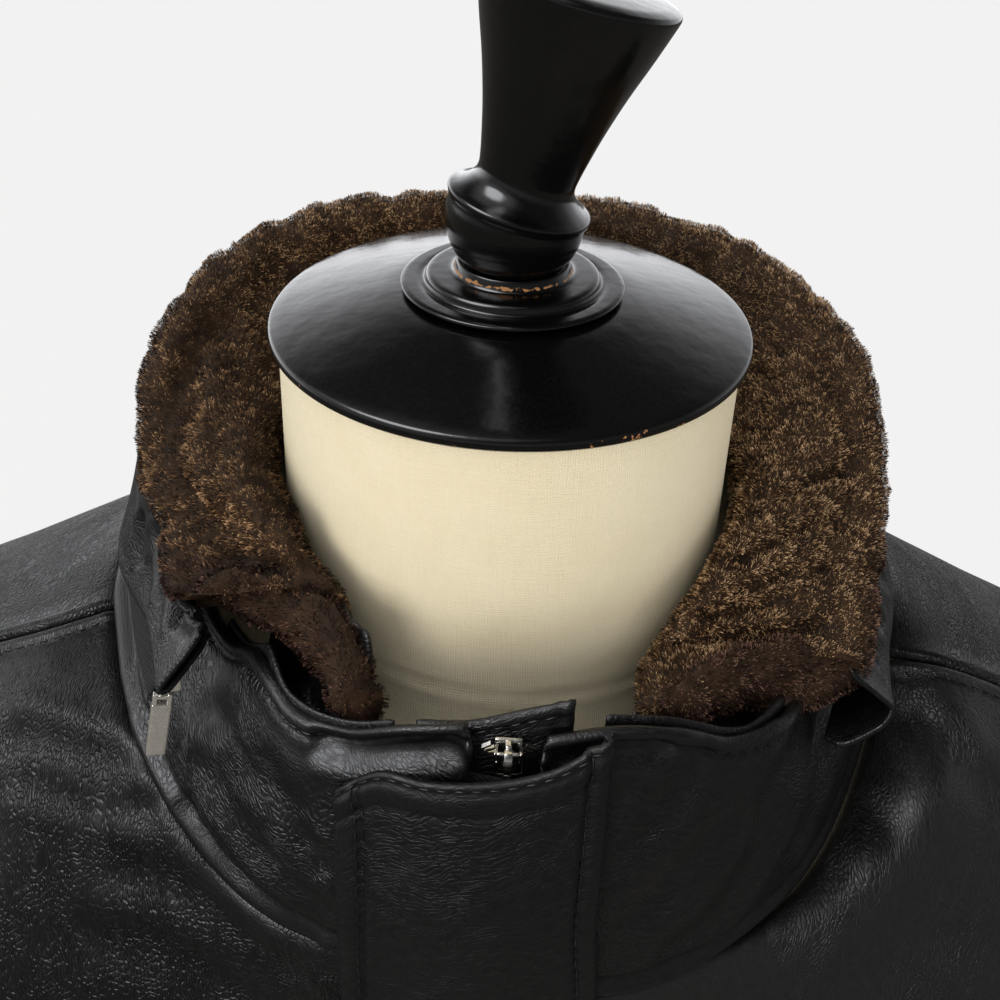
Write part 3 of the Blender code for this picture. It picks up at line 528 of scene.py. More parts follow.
def neck_point(side, angles):
    """Points of the neck seam; the angle is 0 at the front, 90 at the side, 180 behind."""
    angles = np.degrees(angles)
    front = along(NECK_FRONT[side], np.clip(angles / 90, 0, 1))
    back = along(NECK_BACK[side], np.clip((angles - 90) / 90, 0, 1))
    return np.where((angles <= 90)[:, None], front, back)


def ring_point(side, ring, angles):
    """Points of one ring of the body, the angle running as at the neck."""
    half_width, front, back, z_front, z_side, z_back = ring[:6]
    sine, cosine = np.sin(angles), np.cos(angles)
    x = half_width * np.abs(sine) ** (2 / ROUNDNESS)
    depth = np.where(cosine >= 0, front, back)
    share = np.abs(cosine) ** (2 / ROUNDNESS)
    low = np.where(cosine >= 0, z_front, z_back)
    z = z_side + (low - z_side) * share ** 2
    return np.stack([side * x, -np.sign(cosine) * depth * share, z], axis=1)


def body_row(side, place, angles):
    """Points of the body at a fractional row, where row 0 is the neck seam."""
    angles = np.asarray(angles, float)
    if place < 1:
        top = neck_point(side, angles)
        under = ring_point(side, BODY_RINGS[0], angles)
        return top + (under - top) * place
    return ring_point(side, spline(BODY_RINGS, [place - 1])[0], angles)


def angle_at(place, x):
    """The angle at which a body row reaches a half width."""
    ring = spline(BODY_RINGS, [max(place - 1, 0)])[0]
    return math.asin(min((abs(x) / ring[0]) ** (ROUNDNESS / 2), 1.0))


def armhole_angle(place):
    table = [(SHOULDER_SEAM,)] + [
        (angle_at(row, BODY_RINGS[row - 1][6]),)
        for row in range(SHOULDER_ROW + 1, UNDERARM_ROW)] + [(SIDE_SEAM,)]
    return float(spline(table, [place - SHOULDER_ROW])[0][0])


def end_angle(place):
    """Where a front ends: the shoulder seam, the armhole or the side seam."""
    if place <= SHOULDER_ROW:
        return SHOULDER_SEAM
    return armhole_angle(place) if place < UNDERARM_ROW else SIDE_SEAM


def seam_angle(place):
    ring = spline(BODY_RINGS, [max(place - 1, 0)])[0]
    gap = SEAM_GAP * (2.2 if place <= SHOULDER_ROW else 1.0)
    return gap / (ring[1] + ring[2])


def front_grid(side):
    rows = []
    for place in BODY_PLACES:
        edge = ZIP_X * side + ZIP_HALF_GAP
        start = angle_at(place, edge) if edge > 0 else 0.0
        end = end_angle(place) - seam_angle(place)
        rows.append(body_row(side, place, np.linspace(start, end, RING_STEPS + 1)))
    return np.array(rows)


def back_grid():
    rows = []
    for place in BODY_PLACES:
        end = end_angle(place)
        low = math.pi - end if SHOULDER_ROW < place < UNDERARM_ROW else end
        low += seam_angle(place)
        right = body_row(1, place, np.linspace(math.pi, low, RING_STEPS + 1))
        left = body_row(-1, place, np.linspace(low, math.pi, RING_STEPS + 1))
        rows.append(np.concatenate([left, right[1:]]))
    return np.array(rows)


STITCH_PITCH = 4.2
STITCH_IN = 5.5             # from a lapped seam to its stitches
# creases of each front: depth, half width, points across (from the zip) and down
FRONT_CREASES = {
    -1: ((1.5, 5.0, (0.81, 0.122), (0.762, 0.07), (0.68, 0.012)),
         (1.3, 4.5, (0.765, 0.13), (0.70, 0.07), (0.62, 0.012)),
         (1.5, 5.5, (0.611, 0.081), (0.49, 0.034), (0.29, 0.053)),
         (1.4, 6.0, (0.564, 0.158), (0.443, 0.093), (0.312, 0.078)),
         (1.2, 9.0, (0.20, 0.16), (0.30, 0.30), (0.42, 0.42)),
         (1.4, 10.0, (0.55, 0.34), (0.75, 0.37), (0.95, 0.36)),
         (1.2, 8.0, (0.60, 0.42), (0.78, 0.44), (0.96, 0.47)),
         (1.0, 9.0, (0.25, 0.68), (0.55, 0.71), (0.90, 0.69))),
    1: ((1.2, 6.0, (0.878, 0.026), (0.809, 0.077), (0.786, 0.124)),
        (1.2, 6.0, (0.728, 0.016), (0.626, 0.107), (0.619, 0.201)),
        (0.8, 5.0, (0.28, 0.04), (0.34, 0.12), (0.42, 0.20)),
        (1.1, 9.0, (0.22, 0.18), (0.34, 0.30), (0.44, 0.45)),
        (1.4, 10.0, (0.52, 0.33), (0.74, 0.36), (0.95, 0.35)),
        (1.1, 8.0, (0.62, 0.43), (0.80, 0.45), (0.96, 0.48)),
        (1.0, 9.0, (0.30, 0.70), (0.60, 0.72), (0.92, 0.70))),
}
BACK_CREASES = (
    (1.2, 9.0, (0.05, 0.36), (0.18, 0.38), (0.34, 0.34)),
    (1.1, 9.0, (0.95, 0.37), (0.83, 0.39), (0.68, 0.35)),
    (0.9, 8.0, (0.08, 0.46), (0.22, 0.47), (0.36, 0.50)),
    (1.0, 10.0, (0.20, 0.70), (0.45, 0.73), (0.80, 0.70)),
    (0.8, 9.0, (0.30, 0.80), (0.55, 0.78), (0.75, 0.81)),
)


def body_shape(grid, creases, ends):
    """Adds the creases, the roll below the neck seam and the lapped shoulder seams."""
    out = normals(grid)
    grid = crease(grid, out, creases)
    across, down = lengths(grid)
    # the hide is drawn down into the neck seam and puckers below it
    pucker = 1 + 0.8 * np.sin(across / 1.9 + 1.5 * np.sin(across / 11.0))
    roll = (-1.4 * np.clip(1 - down / 4.0, 0, 1) ** 2
            - 0.22 * pucker * bell(down, 5.0, 5.0))
    grid = grid + out * roll[..., None]
    for end in ends:
        distance = across if end == 0 else across[:, -1:] - across
        grid = turned_edge(grid, out, distance, STITCH_IN, down, bead=0.7, ditch=0.35,
                           drop=0.9)
    return grid


def rubbed(grid, closed=False, centre=CENTRE):
    """One where the leather faces up, on top of the shoulders, and none lower down."""
    return np.clip((np.abs(normals(grid, closed, centre)[..., 2]) - 0.80) / 0.12, 0, 1)


THREAD, tree, shader = material("black bonded nylon thread")
where = add(tree, "TexCoord")
# the thread's twist, painted as fine slanted bands of light and shade 0.6 mm apart
twist_light_and_shade = add(tree, "TexWave", {"Scale": 500.0, "Distortion": 1.0, "Detail": 1.0},
            {0: (where, "Object")})
shade = add(tree, "ValToRGB", {"stops": [(0.2, "#08080a"), (0.8, "#1d1d1f")]}, {0: twist_light_and_shade})
add(tree, shader, {"Roughness": 0.38}, {"Base Color": shade})


def stitched(name, rows):
    """Rows of stitches as one mesh; a row is its points and its outward directions."""
    length, thick, sink = 3.3, 0.62, 0.12       # of the thread that shows, in mm
    points, faces, base, sides = [], [], 0, 6
    ring_at = np.array([-1.0, -0.82, -0.4, 0.4, 0.82, 1.0])
    ring_size = np.array([0.12, 0.75, 1.0, 1.0, 0.75, 0.12])
    turn = np.linspace(0, 2 * np.pi, sides, endpoint=False)
    skin = cells(np.arange(sides * len(ring_at)).reshape(-1, sides), closed=True)
    for path, outs in rows:
        size = from_zero(strides(path))
        spots = np.arange(STITCH_PITCH / 2, size[-1] - STITCH_PITCH / 2, STITCH_PITCH)
        middle, lift, ahead_of = [np.stack([np.interp(spots + d, size, source[:, i])
                                            for i in range(3)], axis=1)
                                  for source, d in ((path, 0), (outs, 0), (path, 0.5))]
        direction = unit(ahead_of - middle)
        lift = unit(lift - direction * (lift * direction).sum(axis=1, keepdims=True))
        aside = np.cross(direction, lift)
        for m, d, up, w in zip(middle, direction, lift, aside):
            for place, size_here in zip(ring_at, ring_size):
                centre = m + d * place * length / 2 + up * (thick * 0.35 - sink
                                                          - 0.35 * place * place)
                points.append(centre + thick / 2 * size_here
                              * (np.cos(turn)[:, None] * w + np.sin(turn)[:, None] * up * 0.8))
            faces.append(skin + base)
            base += sides * len(ring_at)
    fit(build(name, np.concatenate(points), np.concatenate(faces), THREAD))


FRONT_DOWN = graded(620, 9.0, 2.2, [(0, 190)])
FRONT_ACROSS = graded(330, 3.4, 0.9, [(322, 330)])
FRONT_HIDES = {
    -1: {"turn": math.radians(62), "wrinkle": 0.15, "pebble": 1.15},
    1: {"turn": math.radians(-50), "wrinkle": 0.2, "pebble": 0.5, "shine": 0.43, "gloss": 0.8},
}
fronts = {}
for side, name in ((-1, "front_right"), (1, "front_left")):
    grid = refined(front_grid(side), FRONT_DOWN, FRONT_ACROSS)
    fronts[side] = grid = body_shape(grid, FRONT_CREASES[side], (1,))
    calm = np.clip(1.2 - lengths(grid)[1] / 9.0, 0, 1) * 0.7
    hide = leather(f"pebbled cowhide, {name[6:]} front", **FRONT_HIDES[side])
    sew(shell(name, grid, WALL, hide, tones={"smooth": calm, "worn": rubbed(grid)}), name)
BACK_DOWN = graded(640, 9.0, 4.0, [(0, 120)])
BACK_ACROSS = graded(680, 7.0, 0.9, [(0, 8), (672, 680)])
grid = refined(back_grid(), BACK_DOWN, BACK_ACROSS)
grid = body_shape(grid, BACK_CREASES, (0, 1))
hide = leather("pebbled cowhide, back", turn=0.2, pebble=0.7, wrinkle=0.5)
sew(shell("back", grid, WALL, hide, tones={"worn": rubbed(grid)}), "back")

# ================================================================ sleeves
# One-piece tubes of the same hide, set in at the armhole. They hang flattened, and
# crease inside the elbow and under the arm.

# x and z of the outer line, x and z next to the body, half depth, y of the middle
SLEEVE_RINGS = (
    (256, -157, 228.5, -348, 70, 0), (278, -190, 229.5, -350, 74, 0),
    (294, -238, 230.5, -354, 77, -1), (304, -292, 231.5, -365, 79, -2),
    (311, -356, 233.5, -395, 79, -4), (315, -440, 237, -446, 76, -8),
    (316, -545, 243, -548, 68, -14), (317, -660, 250, -661, 60, -22),
    (316, -778, 256, -778, 52, -30),
)
# The front of a sleeve is a quarter of the way round from its outer line.
SLEEVE_CREASES = (
    (1.6, 9.0, (0.06, 0.50), (0.20, 0.53), (0.38, 0.49)),
    (1.8, 8.0, (0.10, 0.58), (0.26, 0.59), (0.42, 0.56)),
    (1.5, 9.0, (0.02, 0.66), (0.18, 0.63), (0.36, 0.64)),
    (1.3, 9.0, (0.14, 0.28), (0.26, 0.33), (0.36, 0.40)),
    (1.2, 9.0, (0.92, 0.55), (0.80, 0.58), (0.64, 0.55)),
    (1.0, 8.0, (0.12, 0.86), (0.30, 0.89), (0.44, 0.86)),
    (0.9, 7.0, (0.04, 0.18), (0.14, 0.26), (0.22, 0.36)),
)


def armhole_loop(side):
    """The armhole's edge from the shoulder down its front and up its back."""
    places = [SHOULDER_ROW + k / 2 for k in range(0, 11)]
    front = [body_row(side, p, [end_angle(p)])[0] for p in places]
    behind = [body_row(side, p, [math.pi - armhole_angle(p)])[0] for p in places[1:-1]]
    loop = np.array(front + behind[::-1])
    loop[:, 0] += side * 1.5 * SEAM_GAP
    return loop


def sleeve_grid(side):
    """Rings from the armhole down to the cuff."""
    first = armhole_loop(side)
    turn = np.linspace(0, 2 * np.pi, len(first), endpoint=False)
    rings = [first]
    for out_x, out_z, in_x, in_z, depth, middle in SLEEVE_RINGS:
        x = (out_x + in_x) / 2 + (out_x - in_x) / 2 * np.cos(turn)
        z = (out_z + in_z) / 2 + (out_z - in_z) / 2 * np.cos(turn)
        rings.append(np.stack([side * x, middle - depth * np.sin(turn), z], axis=1))
    return np.array(rings)


SLEEVE_DOWN = graded(600, 8.0, 2.5, [(0, 12), (585, 600)])
SLEEVE_ROUND = np.linspace(0, 1, 81)[:-1]
SLEEVE_MIDDLE = 272.0       # out from the jacket's middle line
for side, name in ((-1, "sleeve_right"), (1, "sleeve_left")):
    grid = refined(sleeve_grid(side), SLEEVE_DOWN, SLEEVE_ROUND, closed=True)
    middle = (side * SLEEVE_MIDDLE, -8.0, None)
    out = normals(grid, True, middle)
    grid = crease(grid, out, SLEEVE_CREASES)
    hem = lengths(grid)[1]
    # the head of the sleeve tucks in behind the armhole's edge
    grid[..., 0] -= side * 1.1 * np.clip(1 - hem / 3.0, 0, 1)
    hem = hem[-1:] - hem
    # a bead near the cuff's end, a ditch over its hem's stitches, a tuck at the head
    grid = grid + out * (0.5 * bell(hem, 6, 4) - 0.5 * bell(hem, 22, 1.6)
                         - 0.9 * np.clip(1 - (hem[:1] - hem) / 3, 0, 1) ** 2)[..., None]
    hide = leather(f"pebbled cowhide, {name.replace('_', ' ')}", turn=1.4, pebble=0.7,
                   wrinkle=0.6)
    sew(shell(name, grid, WALL, hide, closed=True, centre=middle,
              tones={"worn": rubbed(grid, True, middle)}), name)

# ================================================================ stand collar
# A stand of two halves sewn into the neck, folded over at its top edge and stitched
# there. Inside it a facing of the same hide turns back under the fur.

COLLAR_WALL = 2.0
THIN_WALL = 1.5
STAND_BULGE = 4.0
STAND_STITCH = 4.6
STAND_TOP = {
    -1: ((-7, -96, -57), (-12, -95.8, -56.5), (-18, -95.3, -58), (-25, -94.3, -61.5),
         (-32, -92.3, -64.5), (-39.5, -89.3, -66.5), (-48, -84.3, -67.5),
         (-55.5, -76.5, -67), (-61, -64, -66), (-70, -51, -76), (-82, -30, -81),
         (-92, -5, -79), (-98, 15, -71), (-96, 37, -62), (-81, 65, -55),
         (-46, 86, -52), (0, 92, -51)),
    1: ((13, -96, -60), (18, -95.4, -59), (25, -94.3, -58), (43.5, -91.5, -60.5),
        (54, -89.3, -64.5), (62, -86, -68), (69, -81, -68.5), (76, -72, -69),
        (84, -54, -79), (94, -31, -85), (101, -6, -80), (103, 15, -71),
        (98, 37, -62), (82, 65, -55), (46, 86, -52), (0, 92, -51)),
}
STAND_HEIGHTS = (0.024, 0.25, 0.5, 0.75, 1.0)
# drop where the facing hangs straight, reach in and drop where it turns back
FACING_ROWS = ((6, 0.8, 6), (11, 1.6, 10.5), (15, 4.0, 13.5), (19, 8.0, 14), (23, 13.0, 10),
               (26, 18.0, 4))
FACING_LEVEL = {-1: -54.0, 1: -67.0}
# creases of the stand: depth, half width, points across (from the zip) and up
STAND_CREASES = {
    -1: ((3.2, 3.6, (0.0, 0.84), (0.10, 0.84), (0.20, 0.86)),
         (1.7, 5.0, (0.414, 0.443), (0.307, 0.429), (0.214, 0.323), (0.173, 0.244)),
         (1.6, 5.0, (0.36, 0.522), (0.271, 0.552), (0.196, 0.459), (0.178, 0.401)),
         (1.5, 4.5, (0.412, 0.223), (0.333, 0.181), (0.249, 0.153), (0.182, 0.066)),
         (1.0, 4.0, (0.274, 0.712), (0.224, 0.609), (0.184, 0.488)),
         (1.4, 5.0, (0.442, 0.639), (0.323, 0.614), (0.236, 0.632), (0.184, 0.611)),
         (1.2, 5.0, (0.532, 0.363), (0.448, 0.31), (0.371, 0.257)),
         (1.0, 6.0, (0.60, 0.30), (0.70, 0.36), (0.82, 0.30))),
    1: ((2.0, 3.0, (0.0, 0.84), (0.08, 0.84), (0.15, 0.86)),
        (1.1, 4.5, (0.255, 0.712), (0.18, 0.556), (0.115, 0.364)),
        (1.3, 5.0, (0.309, 0.664), (0.267, 0.456), (0.215, 0.287), (0.157, 0.243)),
        (1.3, 5.0, (0.379, 0.828), (0.301, 0.71), (0.243, 0.554)),
        (0.9, 4.0, (0.2, 0.926), (0.154, 0.727), (0.116, 0.599)),
        (1.2, 5.0, (0.468, 0.641), (0.401, 0.488), (0.33, 0.343)),
        (1.0, 6.0, (0.62, 0.34), (0.72, 0.28), (0.84, 0.35))),
}


def sideways(line):
    """Level directions square to a line."""
    run = np.gradient(line, axis=0)
    return np.stack([run[:, 1], -run[:, 0], np.zeros(len(run))], axis=1)


def stand_grid(side, shares, heights):
    """Stand collar from the neck seam (height 0) to its top edge (height 1)."""
    bottom = np.concatenate([np.array(NECK_FRONT[side], float),
                             np.array(NECK_BACK[side], float)[1:]])
    low = along(bottom, shares)
    top = along(STAND_TOP[side], shares)
    out = unit(sideways(low + top))
    out *= np.sign((out * (low + top) * np.array([1, 1, 0])).sum())
    return np.array([low + (top - low) * h + out * STAND_BULGE * math.sin(math.pi * h)
                     for h in heights])


STAND_SHARES = np.linspace(0.0, 1.0, 21) * (1.0 - 0.0008)
STAND_ACROSS = graded(330, 2.6, 1.1, [(0, 130)])
STAND_DOWN = graded(72, 1.4, 0.7, [(0, 11), (63, 72)])
stands = {}
for side, name in ((-1, "stand_right"), (1, "stand_left")):
    grid = refined(stand_grid(side, STAND_SHARES, STAND_HEIGHTS), STAND_DOWN, STAND_ACROSS)
    out = normals(grid)
    grid = crease(grid, out, STAND_CREASES[side])
    across, up = lengths(grid)
    from_top = up[-1:] - up
    grid = turned_edge(grid, out, from_top, STAND_STITCH, across, bead=0.9, ditch=0.8, drop=0.9)
    # a smooth roll stands above the neck seam, with a ditch over it
    grid = grid + out * (1.1 * bell(up, 3.2, 2.2)
                         - 0.9 * bell(up, 7.6, 1.5)
                         - 1.2 * np.clip(1 - up / 1.6, 0, 1) ** 2)[..., None]
    # its lower edge tucks in behind the fronts, so that nothing shows through
    grid[..., 2] -= 1.2 * np.clip(1 - up / 1.6, 0, 1)
    stands[side] = grid
    hide = leather(f"wrinkled cowhide, {name.replace('_', ' ')}", turn=math.radians(12 * side),
                   pebble=0.6, wrinkle=0.2, stretch=0.5)
    # the grain is smooth along both edges and in the hollow below the top roll
    calm = np.maximum(np.clip(1.3 - from_top / STAND_STITCH, 0, 1),
                      np.clip(1.9 - up / 6.0, 0, 1)) * 0.7
    hollow = np.clip(1 - np.abs(from_top - 8) / 8, 0, 1) * np.clip(1.6 - across / 45, 0, 1)
    calm = np.maximum(calm, np.clip(1.6 * hollow, 0, 0.9))
    sew(shell(name, grid, COLLAR_WALL, hide, tones={"smooth": calm}), name)


FACING_SPAN = {-1: (0.062, 0.34), 1: (0.047, 0.30)}     # its run, as shares of the stand


def facing_grid(side):
    """Facing inside the stand's top, which turns back under the fur as a trough."""
    outer = stand_grid(side, np.linspace(*FACING_SPAN[side], 11), (0.75, 0.88, 1.0))
    inwards = unit(-normals(outer) * np.array([1, 1, 0]))[2]
    upright = np.array([0.0, 0.0, 1.0])
    top = outer[2] + inwards * (COLLAR_WALL + 0.9) - 0.4 * upright
    reach = np.clip((np.abs(top[:, 0]) - 28) / 14, 0, 1)[:, None]
    rows = [top]
    for straight, inward, drop in FACING_ROWS:
        rows.append(top + inwards * (1.0 + (inward - 1.0) * reach)
                    - (straight + (drop - straight) * reach) * upright)
    # its inner edge is sewn up level under the fur, also where the stand dips
    rise = (np.clip(FACING_LEVEL[side] - rows[-1][:, 2:], 0, None) * upright
            * np.clip(2 * reach - 0.6, 0, 1))
    rows[-1] += rise
    rows[-2] += 0.6 * rise
    return np.array(rows)


for side, name in ((-1, "facing_right"), (1, "facing_left")):
    grid = refined(facing_grid(side), graded(28, 1.0), graded(80, 1.4))
    out = normals(grid)
    across, down = lengths(grid)
    grid = turned_edge(grid, out, down, 4.2, across + 1.3, bead=0.4, ditch=0.3, drop=0.5)
    hide = leather(f"smooth cowhide, {name.replace('_', ' ')}", pebble=0.4, wrinkle=0.5,
                   shine=0.40)
    sew(shell(name, grid, THIN_WALL, hide), name)

# ================================================================ zip, guard and placket
# A nickel-plated metal zip on black tape joins the fronts. A guard of hide lies behind
# it, and a storm placket in front, turned and stitched along its three edges.

PLACKET_LEFT, PLACKET_RIGHT_TOP, PLACKET_RIGHT = -38.0, 28.0, 35.0
PLACKET_LIFT, PLACKET_EDGE_LIFT, PLACKET_WALL = 7.4, 3.0, 2.2
# x and height of the placket's top edge
PLACKET_TOP = ((-38, -79), (-34, -73.5), (-29, -70.5), (-12, -67.5), (2, -66), (12, -64.5),
               (20, -61), (28, -57))
GUARD_TOP = ((-18, -62), (-8, -61.5), (6, -57), (18.5, -53.5))
GUARD_SHIFT, TAPE_SHIFT = WALL + 2.8, WALL + 0.7
STRIP_PLACES = [-0.8, -0.6, -0.4, -0.2, 0.0] + [0.5] + list(range(1, HEM_ROW + 1))
FRONT_AXIS = (0.0, 0.0, -400.0)


def front_point(x, place):
    """A point of the jacket's front face: stand collar above row 0, body below it."""
    side = -1 if x < ZIP_X else 1
    if place <= 0:
        row = (stand_grid(side, np.linspace(0, 0.3, 61), (-place,))[0] if place < 0
               else body_row(side, 0, np.linspace(0, 1.2, 80)))
        reach = side * (row[:, 0] - ZIP_X)
        wanted = max(side * (x - ZIP_X), reach[0])
        return np.array([np.interp(wanted, reach, row[:, i]) for i in range(3)])
    edge = abs(x) if side * x > 0 else 0.0
    return body_row(side, place, [angle_at(place, edge)])[0]


def strip_grid(columns, places, lift):
    """A strip on the front: each point is moved out along y by lift(x)."""
    rows = []
    for place in places:
        row = [front_point(x, place) for x in columns(place)]
        rows.append([(x, p[1] - lift(x), p[2]) for x, p in zip(columns(place), row)])
    return np.array(rows)


def heights_at(x, outline):
    """Heights of a drawn outline above points along x."""
    return np.interp(x, *zip(*outline))


def placket_columns(place):
    share = np.clip((place + 0.4) / 0.9, 0, 1)
    right = PLACKET_RIGHT_TOP + (PLACKET_RIGHT - PLACKET_RIGHT_TOP) * share
    return np.linspace(PLACKET_LEFT, right, 7)


def placket_lift(x):
    middle = (x - ZIP_X) / (33.0 if x < ZIP_X else 27.0)
    return PLACKET_EDGE_LIFT + (PLACKET_LIFT - PLACKET_EDGE_LIFT) * max(0.0, 1 - middle ** 2)


def placket_grid():
    grid = strip_grid(placket_columns, STRIP_PLACES, placket_lift)
    top = grid[0].copy()
    heights = heights_at(top[:, 0], PLACKET_TOP)
    slope = (grid[0, :, 1] - grid[1, :, 1]) / (grid[0, :, 2] - grid[1, :, 2])
    top[:, 1] += slope * (heights - top[:, 2])
    top[:, 2] = heights
    return np.concatenate([top[None], grid[1:]])


TOP_STITCH, SIDE_STITCH = 1.7, 7.4      # from the placket's edges to its stitches
grid = refined(placket_grid(), graded(700, 6.0, 0.9, [(0, 104)]),
               graded(72, 1.4, 0.8, [(0, 10), (56, 72)]))
out = normals(grid, centre=FRONT_AXIS)
across, down = lengths(grid)
near_right = across[:, -1:] - across
grid = turned_edge(grid, out, down, TOP_STITCH, across, bead=0.25, ditch=0.5, drop=0.7)
grid = turned_edge(grid, out, across, SIDE_STITCH, down, bead=1.0, ditch=0.9, drop=1.2)
grid = turned_edge(grid, out, near_right, SIDE_STITCH - 1.2, down, bead=0.9, ditch=0.9,
                   drop=1.2)
# the turned top edge ends in a soft step 8 mm below
grid = grid + out * (0.5 * bell(down, 5.0, 2.5)
                     - 0.6 * bell(down, 8.6, 1.0))[..., None]
band = np.maximum(np.clip(1.3 - down / 8.0, 0, 1), np.clip(1.3 - across / SIDE_STITCH, 0, 1))
band = np.maximum(band, np.clip(1.3 - near_right / SIDE_STITCH, 0, 1))
placket = grid
hide = leather("wrinkled cowhide, placket", turn=math.radians(4), pebble=0.6, wrinkle=0.6,
               stretch=0.3, shine=0.46, gloss=0.4)
sew(shell("placket", grid, PLACKET_WALL, hide, centre=FRONT_AXIS,
          tones={"smooth": band * 0.75}), "placket")

GUARD_STITCH = 3.4
guard = strip_grid(lambda place: np.linspace(-18, 18.5, 4),
                   [-0.98, -0.75, -0.5, -0.25] + STRIP_PLACES[4:], lambda x: -GUARD_SHIFT)
guard[0, :, 2] = heights_at(guard[0, :, 0], GUARD_TOP)
guard = refined(guard, graded(720, 9.0, 1.2, [(0, 40)]), graded(38, 1.2))
out = normals(guard, centre=FRONT_AXIS)
across, down = lengths(guard)
guard = turned_edge(guard, out, down, GUARD_STITCH, across, bead=0.4, ditch=0.4, drop=0.6)
guard = turned_edge(guard, out, across[:, -1:] - across, GUARD_STITCH, down, bead=0.3,
                    ditch=0.3, drop=0.6)
hide = leather("smooth cowhide, zip guard", pebble=0.4, wrinkle=0.6)
sew(shell("zip_guard", guard, THIN_WALL, hide, centre=FRONT_AXIS), "zip_guard")

TAPE, tree, shader = material("black woven zip tape")
where = add(tree, "TexCoord")
# herringbone ribs of polyester, 0.8 mm apart, drawn coarser than the real 0.4 mm
ribs = add(tree, "TexWave", {"Scale": 390.0, "Distortion": 2.0, "Detail": 1.0,
                             "bands_direction": "DIAGONAL"}, {0: (where, "Object")})
fuzz = add(tree, "TexNoise", {"Scale": 2500.0}, {0: (where, "Object")})
height = add(tree, "Math ADD", links={0: (ribs, "Fac"), 1: fuzz})
bump = add(tree, "Bump", {"Strength": 0.8, "Distance": 0.0002}, {"Height": height})
# painted shade: the colour follows the ribs' height, darker in the grooves between them
shade = add(tree, "ValToRGB", {"stops": [(0.2, "#0c0c0d"), (0.9, "#1d1d1f")]},
            {0: (ribs, "Fac")})
add(tree, shader, {"Roughness": 0.85}, {"Base Color": shade, "Normal": bump})

TAPE_HALF, TAPE_THICK = 14, 0.8
CHAIN_PLACES = [-0.7, -0.5, -0.25] + STRIP_PLACES[4:]
tape = strip_grid(lambda place: np.linspace(ZIP_X - TAPE_HALF, ZIP_X + TAPE_HALF, 3),
                  [-0.84] + CHAIN_PLACES, lambda x: -TAPE_SHIFT)
tape = refined(tape, graded(700, 8.0), graded(28, 2.0))
sew(shell("zip_tape", tape, TAPE_THICK, TAPE, centre=FRONT_AXIS), "zip_tape")


def plated(name, metallic, shine):
    """Nickel plate: handling haze in 1 mm clouds, and polishing lines 0.3 mm apart."""
    made, tree, shader = material(name)
    where = add(tree, "TexCoord")
    haze = add(tree, "TexNoise", {"Scale": 900.0, "Detail": 3.0}, {0: (where, "Object")})
    fine_lines = add(tree, "Mapping", {"Scale": (3000.0, 3000.0, 250.0)},
                     {0: (where, "Object")})
    polish = add(tree, "TexNoise", {"Scale": 1.0, "Detail": 1.0}, {0: fine_lines})
    rough = add(tree, "MapRange", {"ends": (0.35, 0.7, shine, shine + 0.12)}, {0: haze})
    shade = add(tree, "ValToRGB", {"stops": [(0.3, "#c9c6be"), (0.7, "#dedcd6")]}, {0: haze})
    bump = add(tree, "Bump", {"Strength": 0.35, "Distance": 0.00008}, {"Height": polish})
    add(tree, shader, {"Metallic": metallic},
        {"Base Color": shade, "Roughness": rough, "Normal": bump})
    return made


# The slider and the teeth are bright plate. The bar pull and the collar slider are only part
# metal: their pale base colour scatters part of the light, so they stay pale in shade, as a
# painted reflection of the pale room.
BRIGHT_NICKEL = plated("polished nickel plate", 1.0, 0.12)
NICKEL = plated("satin nickel plate, part matt as painted reflection", 0.75, 0.16)


def lump(size, place, turn=Matrix.Identity(3), round_by=0.35, cuts=3):
    """Points and faces of a box with rounded edges, in millimetres."""
    half = np.array(size) / 2
    radius = min(round_by, *half)
    steps = np.linspace(-1, 1, 2 * cuts)
    steps = np.sign(steps) * np.abs(steps) ** 0.35
    points, faces = [], []
    for axis in range(3):
        for sign in (-1, 1):
            base = len(points)
            for a in steps:
                for b in steps:
                    p = np.zeros(3)
                    p[axis], p[(axis + 1) % 3], p[(axis + 2) % 3] = sign, a * sign, b
                    points.append(p)
            faces.append(cells(base + np.arange(len(steps) ** 2).reshape(-1, len(steps)))[
                :, [0, 3, 2, 1]])
    points = np.array(points) * half
    core = np.clip(points, -(half - radius), half - radius)
    points = core + unit(points - core) * radius
    return points @ np.array(turn).T + np.array(place), np.concatenate(faces)


def joined(name, lumps, made):
    """One mesh of many lumps."""
    points = np.concatenate([p for p, _ in lumps])
    base = np.cumsum([0] + [len(p) for p, _ in lumps[:-1]])
    faces = np.concatenate([f + b for (_, f), b in zip(lumps, base)])
    return build(name, points, faces, made)


def tube(path, radius, sides=10):
    """Points and faces of a round wire along a path, in millimetres."""
    path = np.asarray(path, float)
    run = unit(np.gradient(path, axis=0))
    guide = np.array([0.31, 0.12, 0.94])
    aside = unit(np.cross(run, guide))
    lift = np.cross(aside, run)
    turn = np.linspace(0, 2 * np.pi, sides, endpoint=False)
    radius = np.broadcast_to(radius, len(path))[:, None, None]
    points = path[:, None] + radius * (np.cos(turn)[None, :, None] * aside[:, None]
                                       + np.sin(turn)[None, :, None] * lift[:, None])
    index = np.arange(len(path) * sides).reshape(-1, sides)
    return points.reshape(-1, 3), cells(index, closed=True)


TOOTH_PITCH = 1.5
teeth_line = strip_grid(lambda place: [ZIP_X], [-0.83] + CHAIN_PLACES, lambda x: -0.6)[:, 0]
size = from_zero(strides(teeth_line))
spots = np.arange(1.0, size[-1] - 1.0, TOOTH_PITCH)
line = np.stack([np.interp(spots, size, teeth_line[:, i]) for i in range(3)], axis=1)
